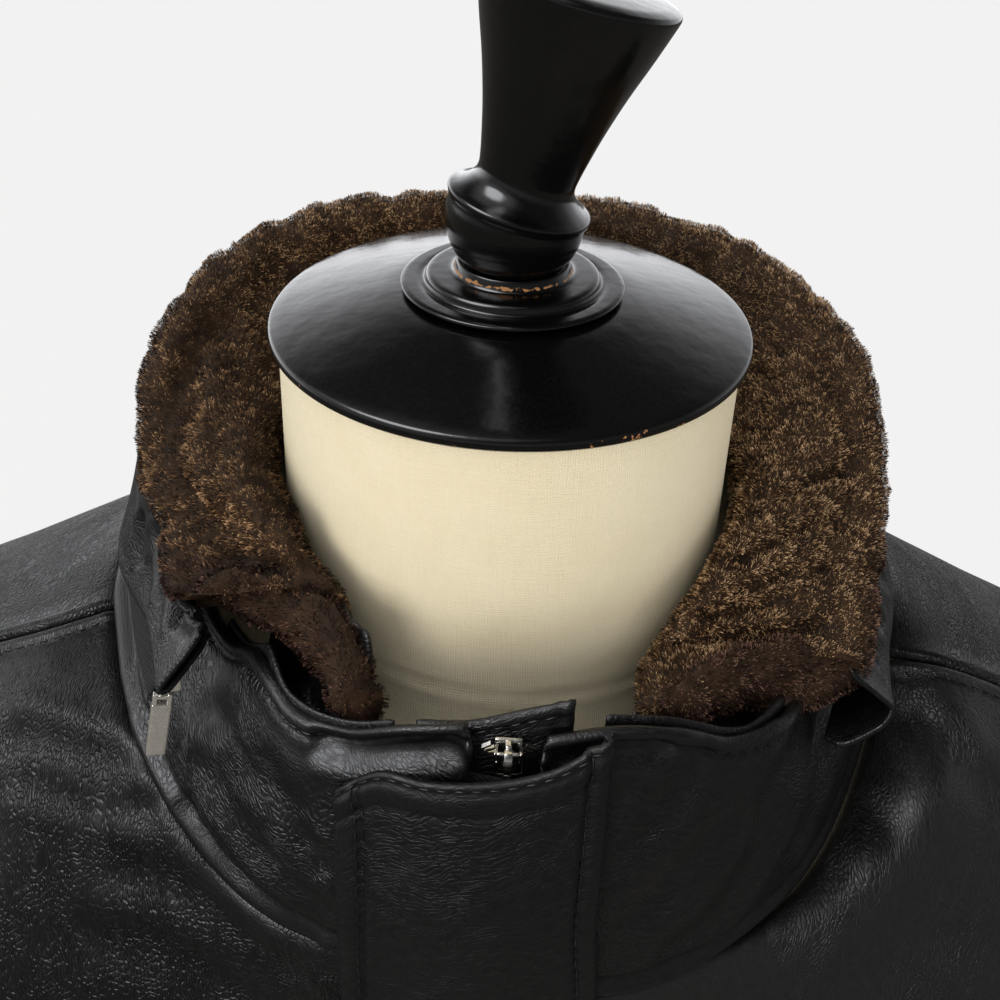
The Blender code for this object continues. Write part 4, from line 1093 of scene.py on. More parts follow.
# the teeth of the two tapes take turns
teeth = [lump((4.0, 1.9, 0.85), spot + np.array([0.9 if k % 2 else -0.9, 0.4, 0]),
              round_by=0.3, cuts=1) for k, spot in enumerate(line)]
fit(joined("zip_teeth", teeth, BRIGHT_NICKEL), "zip_teeth")

slider_at = front_point(ZIP_X, -0.93)
slider_at = np.array([ZIP_X, slider_at[1] + 0.3, slider_at[2] + 0.6])
tab_top = front_point(ZIP_X, -0.88) + np.array([0.0, -3.4, 0.0])
tab_end = front_point(ZIP_X, -0.62) + np.array([0.0, -3.4, 0.0])
tab_lean = Matrix.Rotation(math.atan2(tab_end[1] - tab_top[1], tab_top[2] - tab_end[2]), 3, "X")


def bow(points, width, thick):
    """A flat metal strap along points: widths run sideways along x."""
    parts = []
    for a, b in zip(points[:-1], points[1:]):
        a, b = np.array(a, float), np.array(b, float)
        run = b - a
        lean = Matrix.Rotation(math.atan2(run[2], run[1]), 3, "X")
        parts.append(lump((width, np.linalg.norm(run) + thick * 0.8, thick), (a + b) / 2, lean,
                          round_by=thick * 0.4, cuts=2))
    return parts


# two plates of the slider's body, the back one higher, a post in its mouth that joins
# them, and the flanges beside the chain: size, place and rounding
slider = [lump(size, slider_at + np.array(place), round_by=round_by)
          for size, place, round_by in (
              ((5.4, 0.9, 3.6), (0, -1.3, 0.8), 0.4), ((6.0, 0.9, 4.2), (0, -1.3, -2.1), 0.4),
              ((6.6, 1.1, 5.0), (0, 1.4, 2.2), 0.5), ((6.0, 0.9, 4.6), (0, 1.3, -1.9), 0.4),
              ((1.6, 2.8, 4.2), (0, 0, 2.4), 0.5), ((0.8, 1.4, 6.4), (-3.0, -0.9, -0.8), 0.3),
              ((0.8, 1.4, 6.4), (3.0, -0.9, -0.8), 0.3))]
# the last teeth part at its mouth and run up both tapes
for part in (-1, 1):
    for k in range(3):
        tilt = Matrix.Rotation(math.radians(part * (16 + 8 * k)), 3, "Y")
        slider.append(lump((2.6, 1.5, 0.75), slider_at
                           + np.array([part * (3.6 + 0.75 * k), 0.2, 1.2 + 1.1 * k]), tilt,
                           round_by=0.3, cuts=1))
slider += bow([slider_at + np.array(p) for p in (
    (0, -1.6, 3.6), (0, -3.0, 3.9), (0, -3.9, 2.8), (0, -4.0, 0.6), (0, -3.9, -1.6),
    (0, -2.9, -2.9), (0, -1.6, -3.0))], 2.0, 0.8)
fit(joined("zip_slider", slider, BRIGHT_NICKEL), "zip_slider")
middle = (tab_top + tab_end) / 2
axis = np.array(tab_lean @ Vector((0, 0, 1)))
tab = [lump((1.0, 1.2, 19.0), middle + np.array([1.75, 0, 0]), tab_lean),
       lump((1.0, 1.2, 19.0), middle - np.array([1.75, 0, 0]), tab_lean),
       lump((4.5, 1.2, 1.3), middle + axis * 9.2, tab_lean),
       lump((4.5, 1.2, 12.0), middle - axis * 3.9, tab_lean)]
fit(joined("zip_tab", tab, BRIGHT_NICKEL), "zip_tab")

# ================================================================ outer collar
# A leaf of hide over the stand carries the fur inside it. Its lower edge is turned
# under, and it folds softly where the collar bends at the viewer's left.

# inner line, outer line and half thickness of the fur, from the middle of the back
FUR_ROWS = {
    -1: ((0, 75, -58, 0, 88, -8, 8.0), (-30, 70, -58, -33, 84, -8, 8.0),
         (-52, 56, -52, -62, 71, -9, 8.0), (-65.5, 35, -46, -86, 50, -16, 8.0),
         (-72, 10, -40, -99.5, 25, -30, 8.0), (-68, -25, -39, -99, -1, -51, 8.0),
         (-58.5, -43.5, -42.5, -87, -22, -58.5, 7.8), (-51, -52.5, -50, -79, -48.8, -60, 7.5),
         (-45.5, -57.6, -57, -65, -54.3, -55.5, 7.1), (-41.5, -64, -60.5, -51, -60.5, -54.6, 6.3),
         (-37, -73, -62, -39.6, -71.6, -59, 5.5), (-34, -80.5, -64.5, -34.5, -80.3, -62.8, 4.9),
         (-32, -83, -67.5, -32.1, -83, -66.5, 4.1)),
    1: ((0, 75, -58, 0, 88, -8, 8.0), (30, 70, -58, 35, 83, -8, 8.0),
        (52, 56, -57, 64, 70, -11, 8.0), (66.5, 36, -50, 88, 50, -19, 8.0),
        (73, 8, -46, 102, 25, -31, 8.0), (69, -22, -46, 103, 0, -49, 8.0),
        (56, -47, -53, 98, -22, -56, 8.0), (50.5, -54, -61, 91.5, -44, -63, 8.0),
        (47.5, -59.5, -66, 86.6, -59.6, -69.6, 8.0), (44, -68, -66.5, 68, -66.3, -64, 7.3),
        (41.7, -74.1, -66.4, 54, -72.6, -63.6, 6.3), (40, -79, -65.6, 45.1, -78.7, -64, 5.3)),
}
# the leaf's run outside the fur, and how far out it stands
LEAF_ROWS = {
    -1: ((0, 88, -8, 8), (-33, 84, -8, 8), (-62, 71, -9, 8), (-86, 50, -16, 8),
         (-100, 25, -30, 8), (-99.5, 0, -51, 8), (-89.5, -22, -59, 8), (-80, -49, -60, 8)),
    1: ((0, 88, -8, 8), (35, 83, -8, 8), (64, 70, -11, 8), (88, 50, -19, 8),
        (102, 25, -31, 8), (103, 0, -49, 8), (98, -22, -56, 8), (91, -44, -63, 8),
        (82, -57, -66, 8)),
}
# the leaf's front end from its top edge down, round the hem and up inside it
LEAF_END = {
    -1: ((-83.5, -53.6, -61.4), (-79.8, -56.9, -61.1), (-76.4, -60.1, -60.6),
         (-76.5, -64.1, -61.5), (-79.6, -70.1, -64.2), (-85.5, -75.0, -71.0),
         (-82.8, -73.8, -73.0), (-79, -67.4, -70.6), (-76.6, -61.6, -69.2),
         (-76.2, -57.8, -68.6)),
    1: ((92, -57.3, -64.2), (92.6, -59.8, -66.1), (93.2, -62, -67.5), (96.6, -63.2, -69.8),
        (100.4, -64, -72.5), (104.6, -64.6, -76.5), (103, -67.4, -79.4), (99.2, -69, -82),
        (92.2, -70, -86), (88.6, -66.5, -87.6)),
}
LEAF_CLEARANCE = 2.3
LEAF_SHOWS = {-1: 3.0, 1: 1.5}         # steps from the front end before it dips
LEAF_BOTTOM = {
    -1: ((-95, -67, -84), (-103, -37, -84), (-116, -10, -85), (-121, 12, -83),
         (-116.5, 39, -76), (-99, 66, -67), (-64, 90, -60), (0, 103, -56)),
    1: ((106, -62, -83), (112, -37, -86), (120.5, -10, -86), (123, 12, -83),
        (117, 39, -76), (100, 66, -67), (64, 90, -60), (0, 103, -56)),
}
# the turned-under hem: inwards and up for each step, at the front end and behind
LEAF_RETURN = {-1: ((2.0, -3.4), (6.4, -3.2), (8.2, 2.0), (8.6, 14.0)),
               1: ((1.6, -4.4), (5.0, -8.0), (9.0, -11.0), (12.5, -13.4))}
LEAF_RETURN_BACK = ((0.9, -1.6), (2.2, -1.9), (3.3, -0.4), (3.6, 3.0))
# creases of each leaf: depth, half width, points across (from its front end) and down
LEAF_CREASES = {
    -1: ((2.4, 2.8, (0.20, 0.02), (0.14, 0.25), (0.08, 0.50)),
         (2.2, 2.6, (0.30, 0.03), (0.24, 0.28), (0.19, 0.56)),
         (1.6, 2.6, (0.40, 0.08), (0.37, 0.30), (0.33, 0.54)),
         (-1.2, 2.0, (0.0, 0.26), (0.05, 0.34), (0.11, 0.40)),
         (1.0, 4.0, (0.60, 0.10), (0.66, 0.30), (0.70, 0.50))),
    1: ((1.2, 3.0, (0.16, 0.05), (0.13, 0.25), (0.11, 0.48)),
        (1.1, 3.0, (0.28, 0.05), (0.26, 0.30), (0.22, 0.52)),
        (0.9, 3.0, (0.42, 0.08), (0.40, 0.32), (0.38, 0.54)),
        (1.0, 4.0, (0.66, 0.10), (0.62, 0.30), (0.58, 0.50))),
}


def leaf_grid(side):
    """Outer collar leather: outside the fur, down to a lower edge that turns under."""
    places = np.linspace(len(LEAF_ROWS[side]) - 1, 0.014, 17)
    rows = spline(LEAF_ROWS[side], places)
    outer, radius = rows[:, :3], rows[:, 3:4]
    bottom = along(LEAF_BOTTOM[side], np.linspace(0, 1 - 0.0022, len(places)))
    out = sideways(outer + bottom)
    out[-1] = (0.0, 1.0, 0.0)
    out = unit(out)
    out[:-1] *= np.sign((out[:-1] * outer[:-1]).sum())
    rise = np.array([0.0, 0.0, 1.0])
    reach = radius + LEAF_CLEARANCE
    front = np.zeros_like(outer)
    front[:, 1] = -6.0 * np.clip(1 - np.arange(len(places)) / 2.0, 0, 1)
    # away from its front end the leaf stops below the fur, which rolls over its edge
    low = np.clip((np.arange(len(places)) - LEAF_SHOWS[side]) / 2.0, 0, 1)[:, None]
    top = outer + out * (reach - 1.8) + rise * (4.0 - 13.0 * low) + front
    belly = outer + out * (reach + 0.5) - rise * (8.0 + 6.0 * low) + front
    grid = [top, top + (belly - top) * 0.5, belly]
    grid += [belly + (bottom - belly) * share for share in (0.35, 0.7, 1.0)]
    turn_back = np.clip(np.linspace(0, 1, len(places))[:, None] * 3.2, 0, 1)
    for near, far in zip(LEAF_RETURN[side], LEAF_RETURN_BACK):
        inward = near[0] * (1 - turn_back) + far[0] * turn_back
        lift = near[1] * (1 - turn_back) + far[1] * turn_back
        grid.append(bottom - out * inward + rise * lift)
    grid = np.array(grid)
    # the front end takes its own outline, which the next few steps ease into
    ease = np.clip(1 - np.arange(len(places)) / 4.0, 0, 1) ** 1.1
    return grid + (np.array(LEAF_END[side]) - grid[:, 0])[:, None] * ease[None, :, None]


for side, name in ((-1, "collar_right"), (1, "collar_left")):
    rough_grid = leaf_grid(side)
    middle = rough_grid.reshape(-1, 3).mean(axis=0) * np.array([0.9, 0.9, 1.0])
    grid = refined(rough_grid, graded(95, 1.6), graded(300, 3.0, 1.4, [(0, 90)]))
    flow = unit(np.cross(np.gradient(grid, axis=1), np.gradient(grid, axis=0)))
    outward = grid - grid.mean(axis=0, keepdims=True) * np.array([0.9, 0.9, 1.0])
    grid = crease(grid, flow * np.sign((flow * outward).sum()), LEAF_CREASES[side])
    hide = leather(f"soft cowhide, {name.replace('_', ' ')}", turn=math.radians(70),
                   pebble=0.5, wrinkle=0.7, tone="#121314", gloss=0.3)
    sew(shell(name, grid, THIN_WALL, hide, centre=tuple(middle)), name)

# ================================================================ fur lining
# Sheared lambskin dyed brown, sewn inside the outer collar. The curly pile stands 4 mm high in
# small locks, painted dark at the root as shade and tan at the tip, wine-coloured at the cut
# ends.

PILE = 1.9                  # length of the fibres that show
PILE_SKIN = 1.2             # the dense underwool's depth below the face of the pile
PILE_END = 4.5              # the ends of the collar are rounded by this much
LOCK_SPACING = 1.6
STRANDS = 140000
# partings and valleys: depth, half width, points across (the shares below) and along
FUR_PARTINGS = {
    -1: ((2.0, 2.4, (0.20, 0.60), (0.30, 0.565), (0.42, 0.55)),
         (2.2, 4.0, (0.46, 0.28), (0.43, 0.38), (0.39, 0.47), (0.34, 0.53)),
         (1.3, 2.0, (0.30, 0.36), (0.27, 0.42), (0.26, 0.48)),
         (1.2, 1.8, (0.36, 0.16), (0.33, 0.21), (0.34, 0.26))),
    1: ((2.6, 1.8, (0.22, 0.70), (0.33, 0.68), (0.47, 0.66)),
        (2.4, 1.7, (0.24, 0.46), (0.34, 0.45), (0.46, 0.45)),
        (1.8, 1.5, (0.20, 0.53), (0.29, 0.51), (0.38, 0.50)),
        (1.8, 1.5, (0.20, 0.58), (0.28, 0.57), (0.36, 0.56)),
        (1.8, 1.5, (0.19, 0.63), (0.27, 0.62), (0.35, 0.61)),
        (1.6, 1.8, (0.36, 0.25), (0.35, 0.29), (0.37, 0.33)),
        (1.4, 1.6, (0.43, 0.28), (0.41, 0.32), (0.42, 0.36)),
        (1.8, 3.0, (0.47, 0.32), (0.46, 0.42), (0.44, 0.50), (0.43, 0.60))),
}


def fur_surface(side, places, shares):
    """Points and outward normals of the lining: shares run from the lower edge over the
    face towards the neck, round the upper edge and down the back."""
    rows = spline(FUR_ROWS[side], places)
    inner, outer, radius = rows[:, :3], rows[:, 3:6], rows[:, 6]
    run = np.gradient((inner + outer) / 2, axis=0)
    run[0] = (side * 1.0, 0.0, 0.0)
    across = unit(outer - inner)
    face = -side * unit(np.cross(across, run))
    width = np.linalg.norm(outer - inner, axis=1)
    points = np.zeros((len(rows), len(shares), 3))
    facing = np.zeros_like(points)
    quarter = np.pi / 2
    # shares 0 to .2 are the lower round edge, .2 to .5 the face, .5 to .7 the upper edge
    for j, share in enumerate(shares):
        step = across * (width * (share - (0.2 if share < 0.5 else 0.7)) / 0.3)[:, None]
        if share < 0.2:
            a, start, sign = -quarter + np.pi * share / 0.2, inner, -1.0
        elif share < 0.5:
            a, start, sign = quarter, inner + step, -1.0
        elif share < 0.7:
            a, start, sign = quarter - np.pi * (share - 0.5) / 0.2, outer, 1.0
        else:
            a, start, sign = -quarter, outer - step, 1.0
        way = sign * across * math.cos(a) + face * math.sin(a)
        facing[:, j] = way
        points[:, j] = start + way * radius[:, None]
    return points, facing


def pile_material(name, dark, middle, tip, wine):
    """Dyed wool pile: the root is in shade, the tip catches the light."""
    made, tree, shader = material(name)
    tone = add(tree, "Attribute", {"attribute_name": "tone"})
    end = add(tree, "Attribute", {"attribute_name": "end"})
    where = add(tree, "TexCoord")
    # dye unevenness, 6 mm across, and single fibres 0.3 mm across
    patches = add(tree, "TexNoise", {"Scale": 160.0, "Detail": 3.0}, {0: (where, "Object")})
    fibres = add(tree, "TexNoise", {"Scale": 3000.0, "Detail": 1.0}, {0: (where, "Object")})
    cloudy = add(tree, "MapRange", {"ends": (0.3, 0.7, -0.12, 0.12)}, {0: patches})
    speck = add(tree, "MapRange", {"ends": (0.3, 0.7, -0.08, 0.08)}, {0: fibres})
    level = add(tree, "Math ADD", links={0: (tone, "Fac"), 1: cloudy})
    level = add(tree, "Math ADD", {"use_clamp": True}, {0: level, 1: speck})
    brown = add(tree, "ValToRGB", {"stops": [(0.1, dark), (0.55, middle), (0.95, tip)]},
                {0: level})
    cut = add(tree, "ValToRGB", {"stops": [(0.1, "#150b0a"), (0.6, wine), (0.98, "#8e6a60")]},
              {0: level})
    both = add(tree, "Mix", {"data_type": "RGBA"}, {0: (end, "Fac"), 6: brown, 7: cut})
    add(tree, shader, {"Roughness": 0.75, "Specular IOR Level": 0.25},
        {"Base Color": (both, 2)})
    return made


PILE_MATERIAL = pile_material("sheared lambskin pile", "#22150e", "#a8815a", "#f4d2a6",
                              "#472d2c")
SKIN_MATERIAL = pile_material("underwool of the lambskin", "#1e140c", "#4a3726", "#846a4a",
                              "#33211f")


def soft_noise(points, size, seed):
    """Smooth noise over points in millimetres: a sum of waves in random directions."""
    rng = np.random.default_rng(seed)
    total = np.zeros(len(points))
    for _ in range(14):
        way = unit(rng.normal(size=3)) * 2 * np.pi / size * rng.uniform(0.6, 1.5)
        total += np.sin(points @ way + rng.uniform(0, 2 * np.pi))
    return total / math.sqrt(7)


PILE_ROWS, PILE_COLUMNS = 170, 60       # rows and columns of the lining's face


def capped(rings):
    """Rings with a ring drawn together to one point added at each end."""
    first, last = [np.repeat(rings[k].mean(axis=0)[None], rings.shape[1], axis=0)[None]
                   for k in (0, -1)]
    return np.concatenate([first, rings, last])


def pile(side, name, seed):
    """The lining's skin and its locks, as two pieces."""
    rng = np.random.default_rng(seed)
    places = np.linspace(0.006, len(FUR_ROWS[side]) - 1, PILE_ROWS)
    shares = np.linspace(0, 1, PILE_COLUMNS + 1)[:-1]
    points, facing = fur_surface(side, places, shares)
    flat, out = points.reshape(-1, 3), facing.reshape(-1, 3)
    wave = soft_noise(flat, 14.0, seed) * 0.7 + soft_noise(flat, 6.0, seed + 1) * 0.35
    flat = flat + out * wave[:, None] * 0.8
    # round the upper edge the pile spreads over the leather
    over = np.clip((shares - 0.46) / 0.08, 0, 1) * np.clip((0.90 - shares) / 0.08, 0, 1)
    flat = flat + out * 2.4 * np.tile(over, len(places))[:, None]
    plain = flat.reshape(points.shape)
    points = crease(plain, facing, FUR_PARTINGS[side])
    dent = ((plain - points) * facing).sum(axis=2)[..., None]
    slope = unit(np.cross(np.gradient(points, axis=1), np.gradient(points, axis=0)))
    slope = slope * np.sign((slope * facing).sum(axis=2))[..., None]
    facing = unit(facing * 0.5 + slope * 0.5)
    # the front end is rounded
    end_ring, end_facing, end_dent = points[-1], facing[-1], dent[-1]
    centre = end_ring.mean(axis=0)
    forward = unit(centre - points[-4].mean(axis=0))
    for a in np.linspace(0, 0.47 * np.pi, 8)[1:]:
        ring = centre + (end_ring - centre) * math.cos(a) + forward * PILE_END * math.sin(a)
        points = np.append(points, ring[None], axis=0)
        facing = np.append(facing, unit(end_facing * math.cos(a)
                                        + forward * math.sin(a))[None], axis=0)
        dent = np.append(dent, end_dent[None], axis=0)
        places = np.append(places, 2 * places[-1] - places[-2])
    skin = points - facing * PILE_SKIN
    # the skin closes over its two ends
    rings = capped(skin)
    flat = rings.reshape(-1, 3)
    quads = cells(np.arange(len(flat)).reshape(rings.shape[:2]), closed=True)
    probe = len(quads) // 2
    if np.dot(slopes(flat, quads[probe:probe + 1])[0],
              flat[quads[probe, 0]] - rings[len(rings) // 2].mean(axis=0)) < 0:
        quads = quads[:, ::-1]
    skin_obj = build(name + "_underwool", flat, quads, SKIN_MATERIAL,
                     tones={"tone": np.full(len(flat), 0.3), "end": np.zeros(len(flat))})
    # roots spread evenly over the area, few on the back that the leather hides
    cell = np.linalg.norm(np.cross(np.roll(points, -1, axis=1)[:-1] - points[:-1],
                                   points[1:] - points[:-1]), axis=2)
    hidden = ((shares > 0.84) | (shares < 0.03)) & (places[:-1, None] < 4.6)
    cell = cell * np.where(hidden, 0.06, 1.0)
    chance = cell.ravel() / cell.sum()

    def roots(count):
        picked = rng.choice(len(chance), size=count, p=chance)
        i, j = np.divmod(picked, cell.shape[1])
        s, t = rng.random((2, count))
        k = (j + 1) % len(shares)
        def mix(grid):
            low = grid[i, j] * (1 - s)[:, None] + grid[i, k] * s[:, None]
            high = grid[i + 1, j] * (1 - s)[:, None] + grid[i + 1, k] * s[:, None]
            return low * (1 - t)[:, None] + high * t[:, None]
        place = places[i] + t * (places[1] - places[0])
        return mix(points), unit(mix(facing)), place, shares[j] + s / len(shares), mix(dent)[:, 0]

    root, out, place, share, low = roots(STRANDS)
    locks, lock_out = roots(int(cell.sum() / LOCK_SPACING ** 2))[:2]
    finder = KDTree(len(locks))
    for k, lock in enumerate(locks):
        finder.insert(lock, k)
    finder.balance()
    found = [finder.find_n(r, 2) for r in root]
    nearest = np.array([near[1] for near, _ in found])
    between = np.array([far[2] - near[2] for near, far in found])
    count = len(root)
    lock_lean = unit(rng.normal(size=locks.shape)) * 0.26
    lock_high = rng.uniform(0.85, 1.1, len(locks))
    lock_tone = rng.normal(0, 0.05, len(locks))
    patch = soft_noise(root, 9.0, seed + 5) * 0.08
    # locks part unevenly: the fibres between them are shorter, and their tone is darkened there
    # as painted shade, in small dark flecks
    gap = bell(between, 0, 0.42) * np.clip(
        soft_noise(root, 7.0, seed + 9) * 0.8 + 0.5, 0, 1)
    fleck = np.clip(soft_noise(root * (0.8, 0.8, 1.5), 4.2, seed + 21) - 0.65, 0, 1)
    gap = np.maximum(gap, fleck)
    # each fibre stands up from its root, leans a little with its lock and on its own
    lean = lock_lean[nearest] + rng.normal(size=(count, 3)) * 0.32 + np.array([0, 0, -0.08])
    way = unit(out + lean)
    high = (PILE * lock_high[nearest] * rng.uniform(0.8, 1.1, count) * (1 + patch * 1.2)
            * (1 - 0.3 * gap))
    root = root - out * PILE_SKIN
    tip = root + way * high[:, None]
    lock_tip = (locks - lock_out * PILE_SKIN + unit(lock_out + lock_lean)
                * (PILE * lock_high)[:, None])
    gather = 0.2 * (np.linalg.norm(tip - lock_tip[nearest], axis=1) < 3.0)
    tip = tip + (lock_tip[nearest] - tip) * gather[:, None]
    aside = unit(np.cross(out, tip - root) + rng.normal(size=(count, 3)) * 0.5)
    wide = rng.uniform(0.14, 0.27, count)[:, None]
    # each fibre is cut blunt by the shears, so it is widest at its tip
    verts = np.stack([root, tip - aside * wide / 2, tip + aside * wide / 2], axis=1)
    faces = np.arange(count)[:, None] * 3 + [0, 1, 2]
    # the side that faces the neck is in shade, under a lighter ridge
    shade = np.clip((0.19 - share) / 0.03, 0, 1) * np.clip((place - 3) / 1.5, 0, 1) * 0.16
    # painted shade: the viewer's left half is darker round to its front end
    base = 0.98 - 0.40 * (side < 0) * np.clip((place - 1) / 3, 0, 1)
    # painted shade: fibres are darker where a parting or valley dents the lining
    lightness = np.clip(base + lock_tone[nearest] + patch + rng.normal(0, 0.22, count)
                        - 0.65 * gap - np.clip(low, -0.5, 2) * 0.16 - shade, 0.05, 1)
    # painted shade: each fibre's root takes a tenth of its tone, so the pile darkens towards the
    # skin
    tones = lightness[:, None] * np.array([0.1, 1.0, 1.0])
    # the cut ends are wine-coloured along the upper edge and round the front end
    wine = np.clip((share - 0.50) / 0.06, 0, 1) * np.clip((place - 3.2) / 1.6, 0, 1)
    wine = np.maximum(wine, np.clip((place - WINE_FROM[side][0]) / 0.6, 0, 1)
                      * np.clip((share - WINE_FROM[side][1]) / 0.08, 0, 1))
    wine = np.clip(wine + rng.normal(0, 0.28, count), 0, 1)
    strands = build(name + "_pile", verts.reshape(-1, 3), faces, PILE_MATERIAL,
                    tones={"tone": tones.ravel(), "end": np.repeat(wine, 3)})
    soft = unit(out * 0.9 + way * 0.5 + rng.normal(size=(count, 3)) * 0.18)
    strands.data.normals_split_custom_set_from_vertices(np.repeat(soft, 3, axis=0))
    fit(skin_obj, name)
    fit(strands)


WINE_FROM = {-1: (6.35, 0.24), 1: (8.1, 0.36)}     # row and share where the cut pile starts
for side, name in ((-1, "fur_right"), (1, "fur_left")):
    pile(side, name, 11 + side)

# ================================================================ collar zip
# A small zip under the outer collar takes a hood. Its slider and plain bar pull show at
# the viewer's left; the pull hangs from a wire loop and swings on it.

TAPE_LIFT = 1.35
COLLAR_ZIP_START = {-1: 0.3, 1: 0.4}
COLLAR_SLIDER = np.array((-86.0, -62.9, -78.1))
PULL_TOP = np.array((-88.0, -65.2, -83.6))
PULL_LENGTH, PULL_WIDTH, PULL_THICKNESS = 21.5, 5.4, 2.2
PULL_SLANT, PULL_TURN = math.radians(12.5), math.atan2(0.30, 0.95)

for side, name in ((-1, "collar_zip_right"), (1, "collar_zip_left")):
    shares = np.append(np.arange(COLLAR_ZIP_START[side] + 0.05, 0.99, 0.05 * (1 - 0.0008)),
                       1 - 0.0016)
    base = stand_grid(side, shares, (0.38, 0.53, 0.68))
    tape = base + normals(base) * TAPE_LIFT
    tape = refined(tape, graded(24, 2.0), graded(230, 4.0))
    sew(shell(name, tape, TAPE_THICK, TAPE), name)

turn = Matrix.Rotation(PULL_TURN, 3, "Z")


def on_slider(x, y, z):
    return COLLAR_SLIDER + np.array(turn @ Vector((x, y, z)))


# two plates, the post between them and two flanges
slide = [lump(size, on_slider(*place), turn) for size, place in (
    ((5.4, 0.8, 7.6), (0, -1.4, 0)), ((5.4, 0.8, 7.6), (0, 1.4, 0)),
    ((1.2, 2.4, 2.4), (0, 0, 2.2)), ((0.7, 3.0, 5.6), (-2.4, 0, -0.8)),
    ((0.7, 3.0, 5.6), (2.4, 0, -0.8)))]
loop = [on_slider(0, y, z) for y, z in (
    (-1.6, 3.0), (-2.1, 2.8), (-2.3, 1.8), (-2.3, -0.4), (-2.1, -2.2), (-1.5, -2.6))]
slide.append(tube(spline(loop, np.linspace(0, 5, 26)), 0.55))
fit(joined("collar_slider", slide, NICKEL), "collar_slider")

lean = turn @ Matrix.Rotation(PULL_SLANT, 3, "Y")


def on_pull(x, y, z):
    return PULL_TOP + np.array(lean @ Vector((x, y, z)))


EYE = 2.6                   # the eye takes the top of the bar
bar = [lump((PULL_WIDTH, PULL_THICKNESS, PULL_LENGTH - EYE - 0.4),
            on_pull(0, 0, 1.0 - EYE - (PULL_LENGTH - EYE) / 2), lean, round_by=0.55, cuts=4),
       lump((1.3, PULL_THICKNESS * 0.8, EYE + 1.2), on_pull(-1.9, 0, 1.0 - EYE / 2), lean),
       lump((1.3, PULL_THICKNESS * 0.8, EYE + 1.2), on_pull(1.9, 0, 1.0 - EYE / 2), lean),
       lump((PULL_WIDTH * 0.94, PULL_THICKNESS * 0.8, 1.1), on_pull(0, 0, 0.6), lean)]
fit(joined("bar_pull", bar, NICKEL), "bar_pull", "bar_pull")

# ================================================================ dress form
# The torso is moulded and covered in plain-woven cream linen, pulled smooth and seamed
# under the neck. It carries the jacket on its shoulders.

# half width, front and back depth, heights
FORM_NECK = (
    (62.3, 62.3, 62.3, -3.4, -3.4, -3.4), (63.2, 63.2, 63.2, -45, -45, -45),
    (64.6, 64.6, 64.6, -74, -74, -74), (67, 67, 67, -90, -87, -84),
    (76, 73, 73, -102, -95, -91), (95, 85, 83, -126, -106, -101),
)
FORM_INSETS = ((4.6, 9), (3.8, 10), (3.2, 10), (3.2, 11), (7, 12), (9, 13), (9, 14), (9, 15),
               (9, 15), (11, 16), (15, 18), (18, 20), (18, 20), (20, 22), (22, 24))
FORM_SHOULDER_PLATE = 219.0
FORM_LOWER = ((206, 104, 100, -800), (198, 98, 96, -836), (186, 90, 90, -850))


def mirrored(half):
    """A whole ring from its half at the viewer's right."""
    return np.concatenate([half, half[1:-1][::-1] * np.array([-1, 1, 1])])


def form_sections():
    angles = np.linspace(0, np.pi, 17)
    sections = []
    for ring in FORM_NECK:
        half = ring_point(1, ring, angles)
        half[:, 0] = ring[0] * np.sin(angles)
        half[:, 1] = -np.where(np.cos(angles) >= 0, ring[1], ring[2]) * np.cos(angles)
        sections.append(mirrored(half))
    for place in range(HEM_ROW + 1):
        shoulder, middle = FORM_INSETS[place]
        halves = []
        for side in (1, -1):
            patch = np.array([body_row(side, min(max(place + d, 0), HEM_ROW), angles)
                              for d in (-0.02, 0.0, 0.02)])
            weight = np.sin(angles)[:, None] ** 2
            inside = patch[1] - normals(patch)[1] * (shoulder * weight + middle * (1 - weight))
            inside[[0, -1], 0] = 0.0
            halves.append(inside)
        rim = np.concatenate([halves[0], halves[1][1:-1][::-1]])
        rim[:, 0] = np.clip(rim[:, 0], -FORM_SHOULDER_PLATE, FORM_SHOULDER_PLATE)
        sections.append(rim)
    for *sizes, level_at in FORM_LOWER:
        sections.append(mirrored(ring_point(1, (*sizes, *[level_at] * 3), angles)))
    return np.array(sections)


LINEN, tree, shader = material("plain-woven cream linen")
FLAT = {"noise_dimensions": "2D"}
where = add(tree, "TexCoord")
cloth_mm = add(tree, "Mapping", {"Scale": (1000, 1000, 1000)}, {0: (where, "UV")})
warp_noise = add(tree, "TexNoise", {"Scale": 0.25, "Detail": 3.0, **FLAT}, {0: cloth_mm})
nudged = add(tree, "VectorMath MULTIPLY_ADD", {1: (0.8, 0.8, 0)},
             {0: (warp_noise, "Color"), 2: cloth_mm})
# warp and weft threads 0.65 mm apart, drawn coarser than the real 0.45 mm
warp = add(tree, "TexWave", {"Scale": 0.48, "bands_direction": "X"}, {0: nudged})
weft = add(tree, "TexWave", {"Scale": 0.48, "bands_direction": "Y"}, {0: nudged})
# slubs: thick places in single threads, 12 mm long, both ways
slub_map = add(tree, "Mapping", {"Scale": (0.08, 1.6, 1.0)}, {0: cloth_mm})
slubs = add(tree, "TexNoise", {"Scale": 1.0, "Detail": 2.0, **FLAT}, {0: slub_map})
slub_up = add(tree, "Mapping", {"Scale": (1.6, 0.08, 1.0)}, {0: cloth_mm})
slubs_up = add(tree, "TexNoise", {"Scale": 1.0, "Detail": 2.0, **FLAT}, {0: slub_up})
weave = add(tree, "Math MULTIPLY", links={0: (warp, "Fac"), 1: (weft, "Fac")})
slub = add(tree, "Math ADD", links={0: slubs, 1: slubs_up})
height = add(tree, "Math ADD", links={0: weave, 1: slub})
bump = add(tree, "Bump", {"Strength": 0.5, "Distance": 0.00022}, {"Height": height})
stains = add(tree, "TexNoise", {"Scale": 0.02, "Detail": 4.0, **FLAT}, {0: cloth_mm})
aged = add(tree, "ValToRGB", {"stops": [(0.3, "#eae0c2"), (0.7, "#f1e9d0")]}, {0: stains})
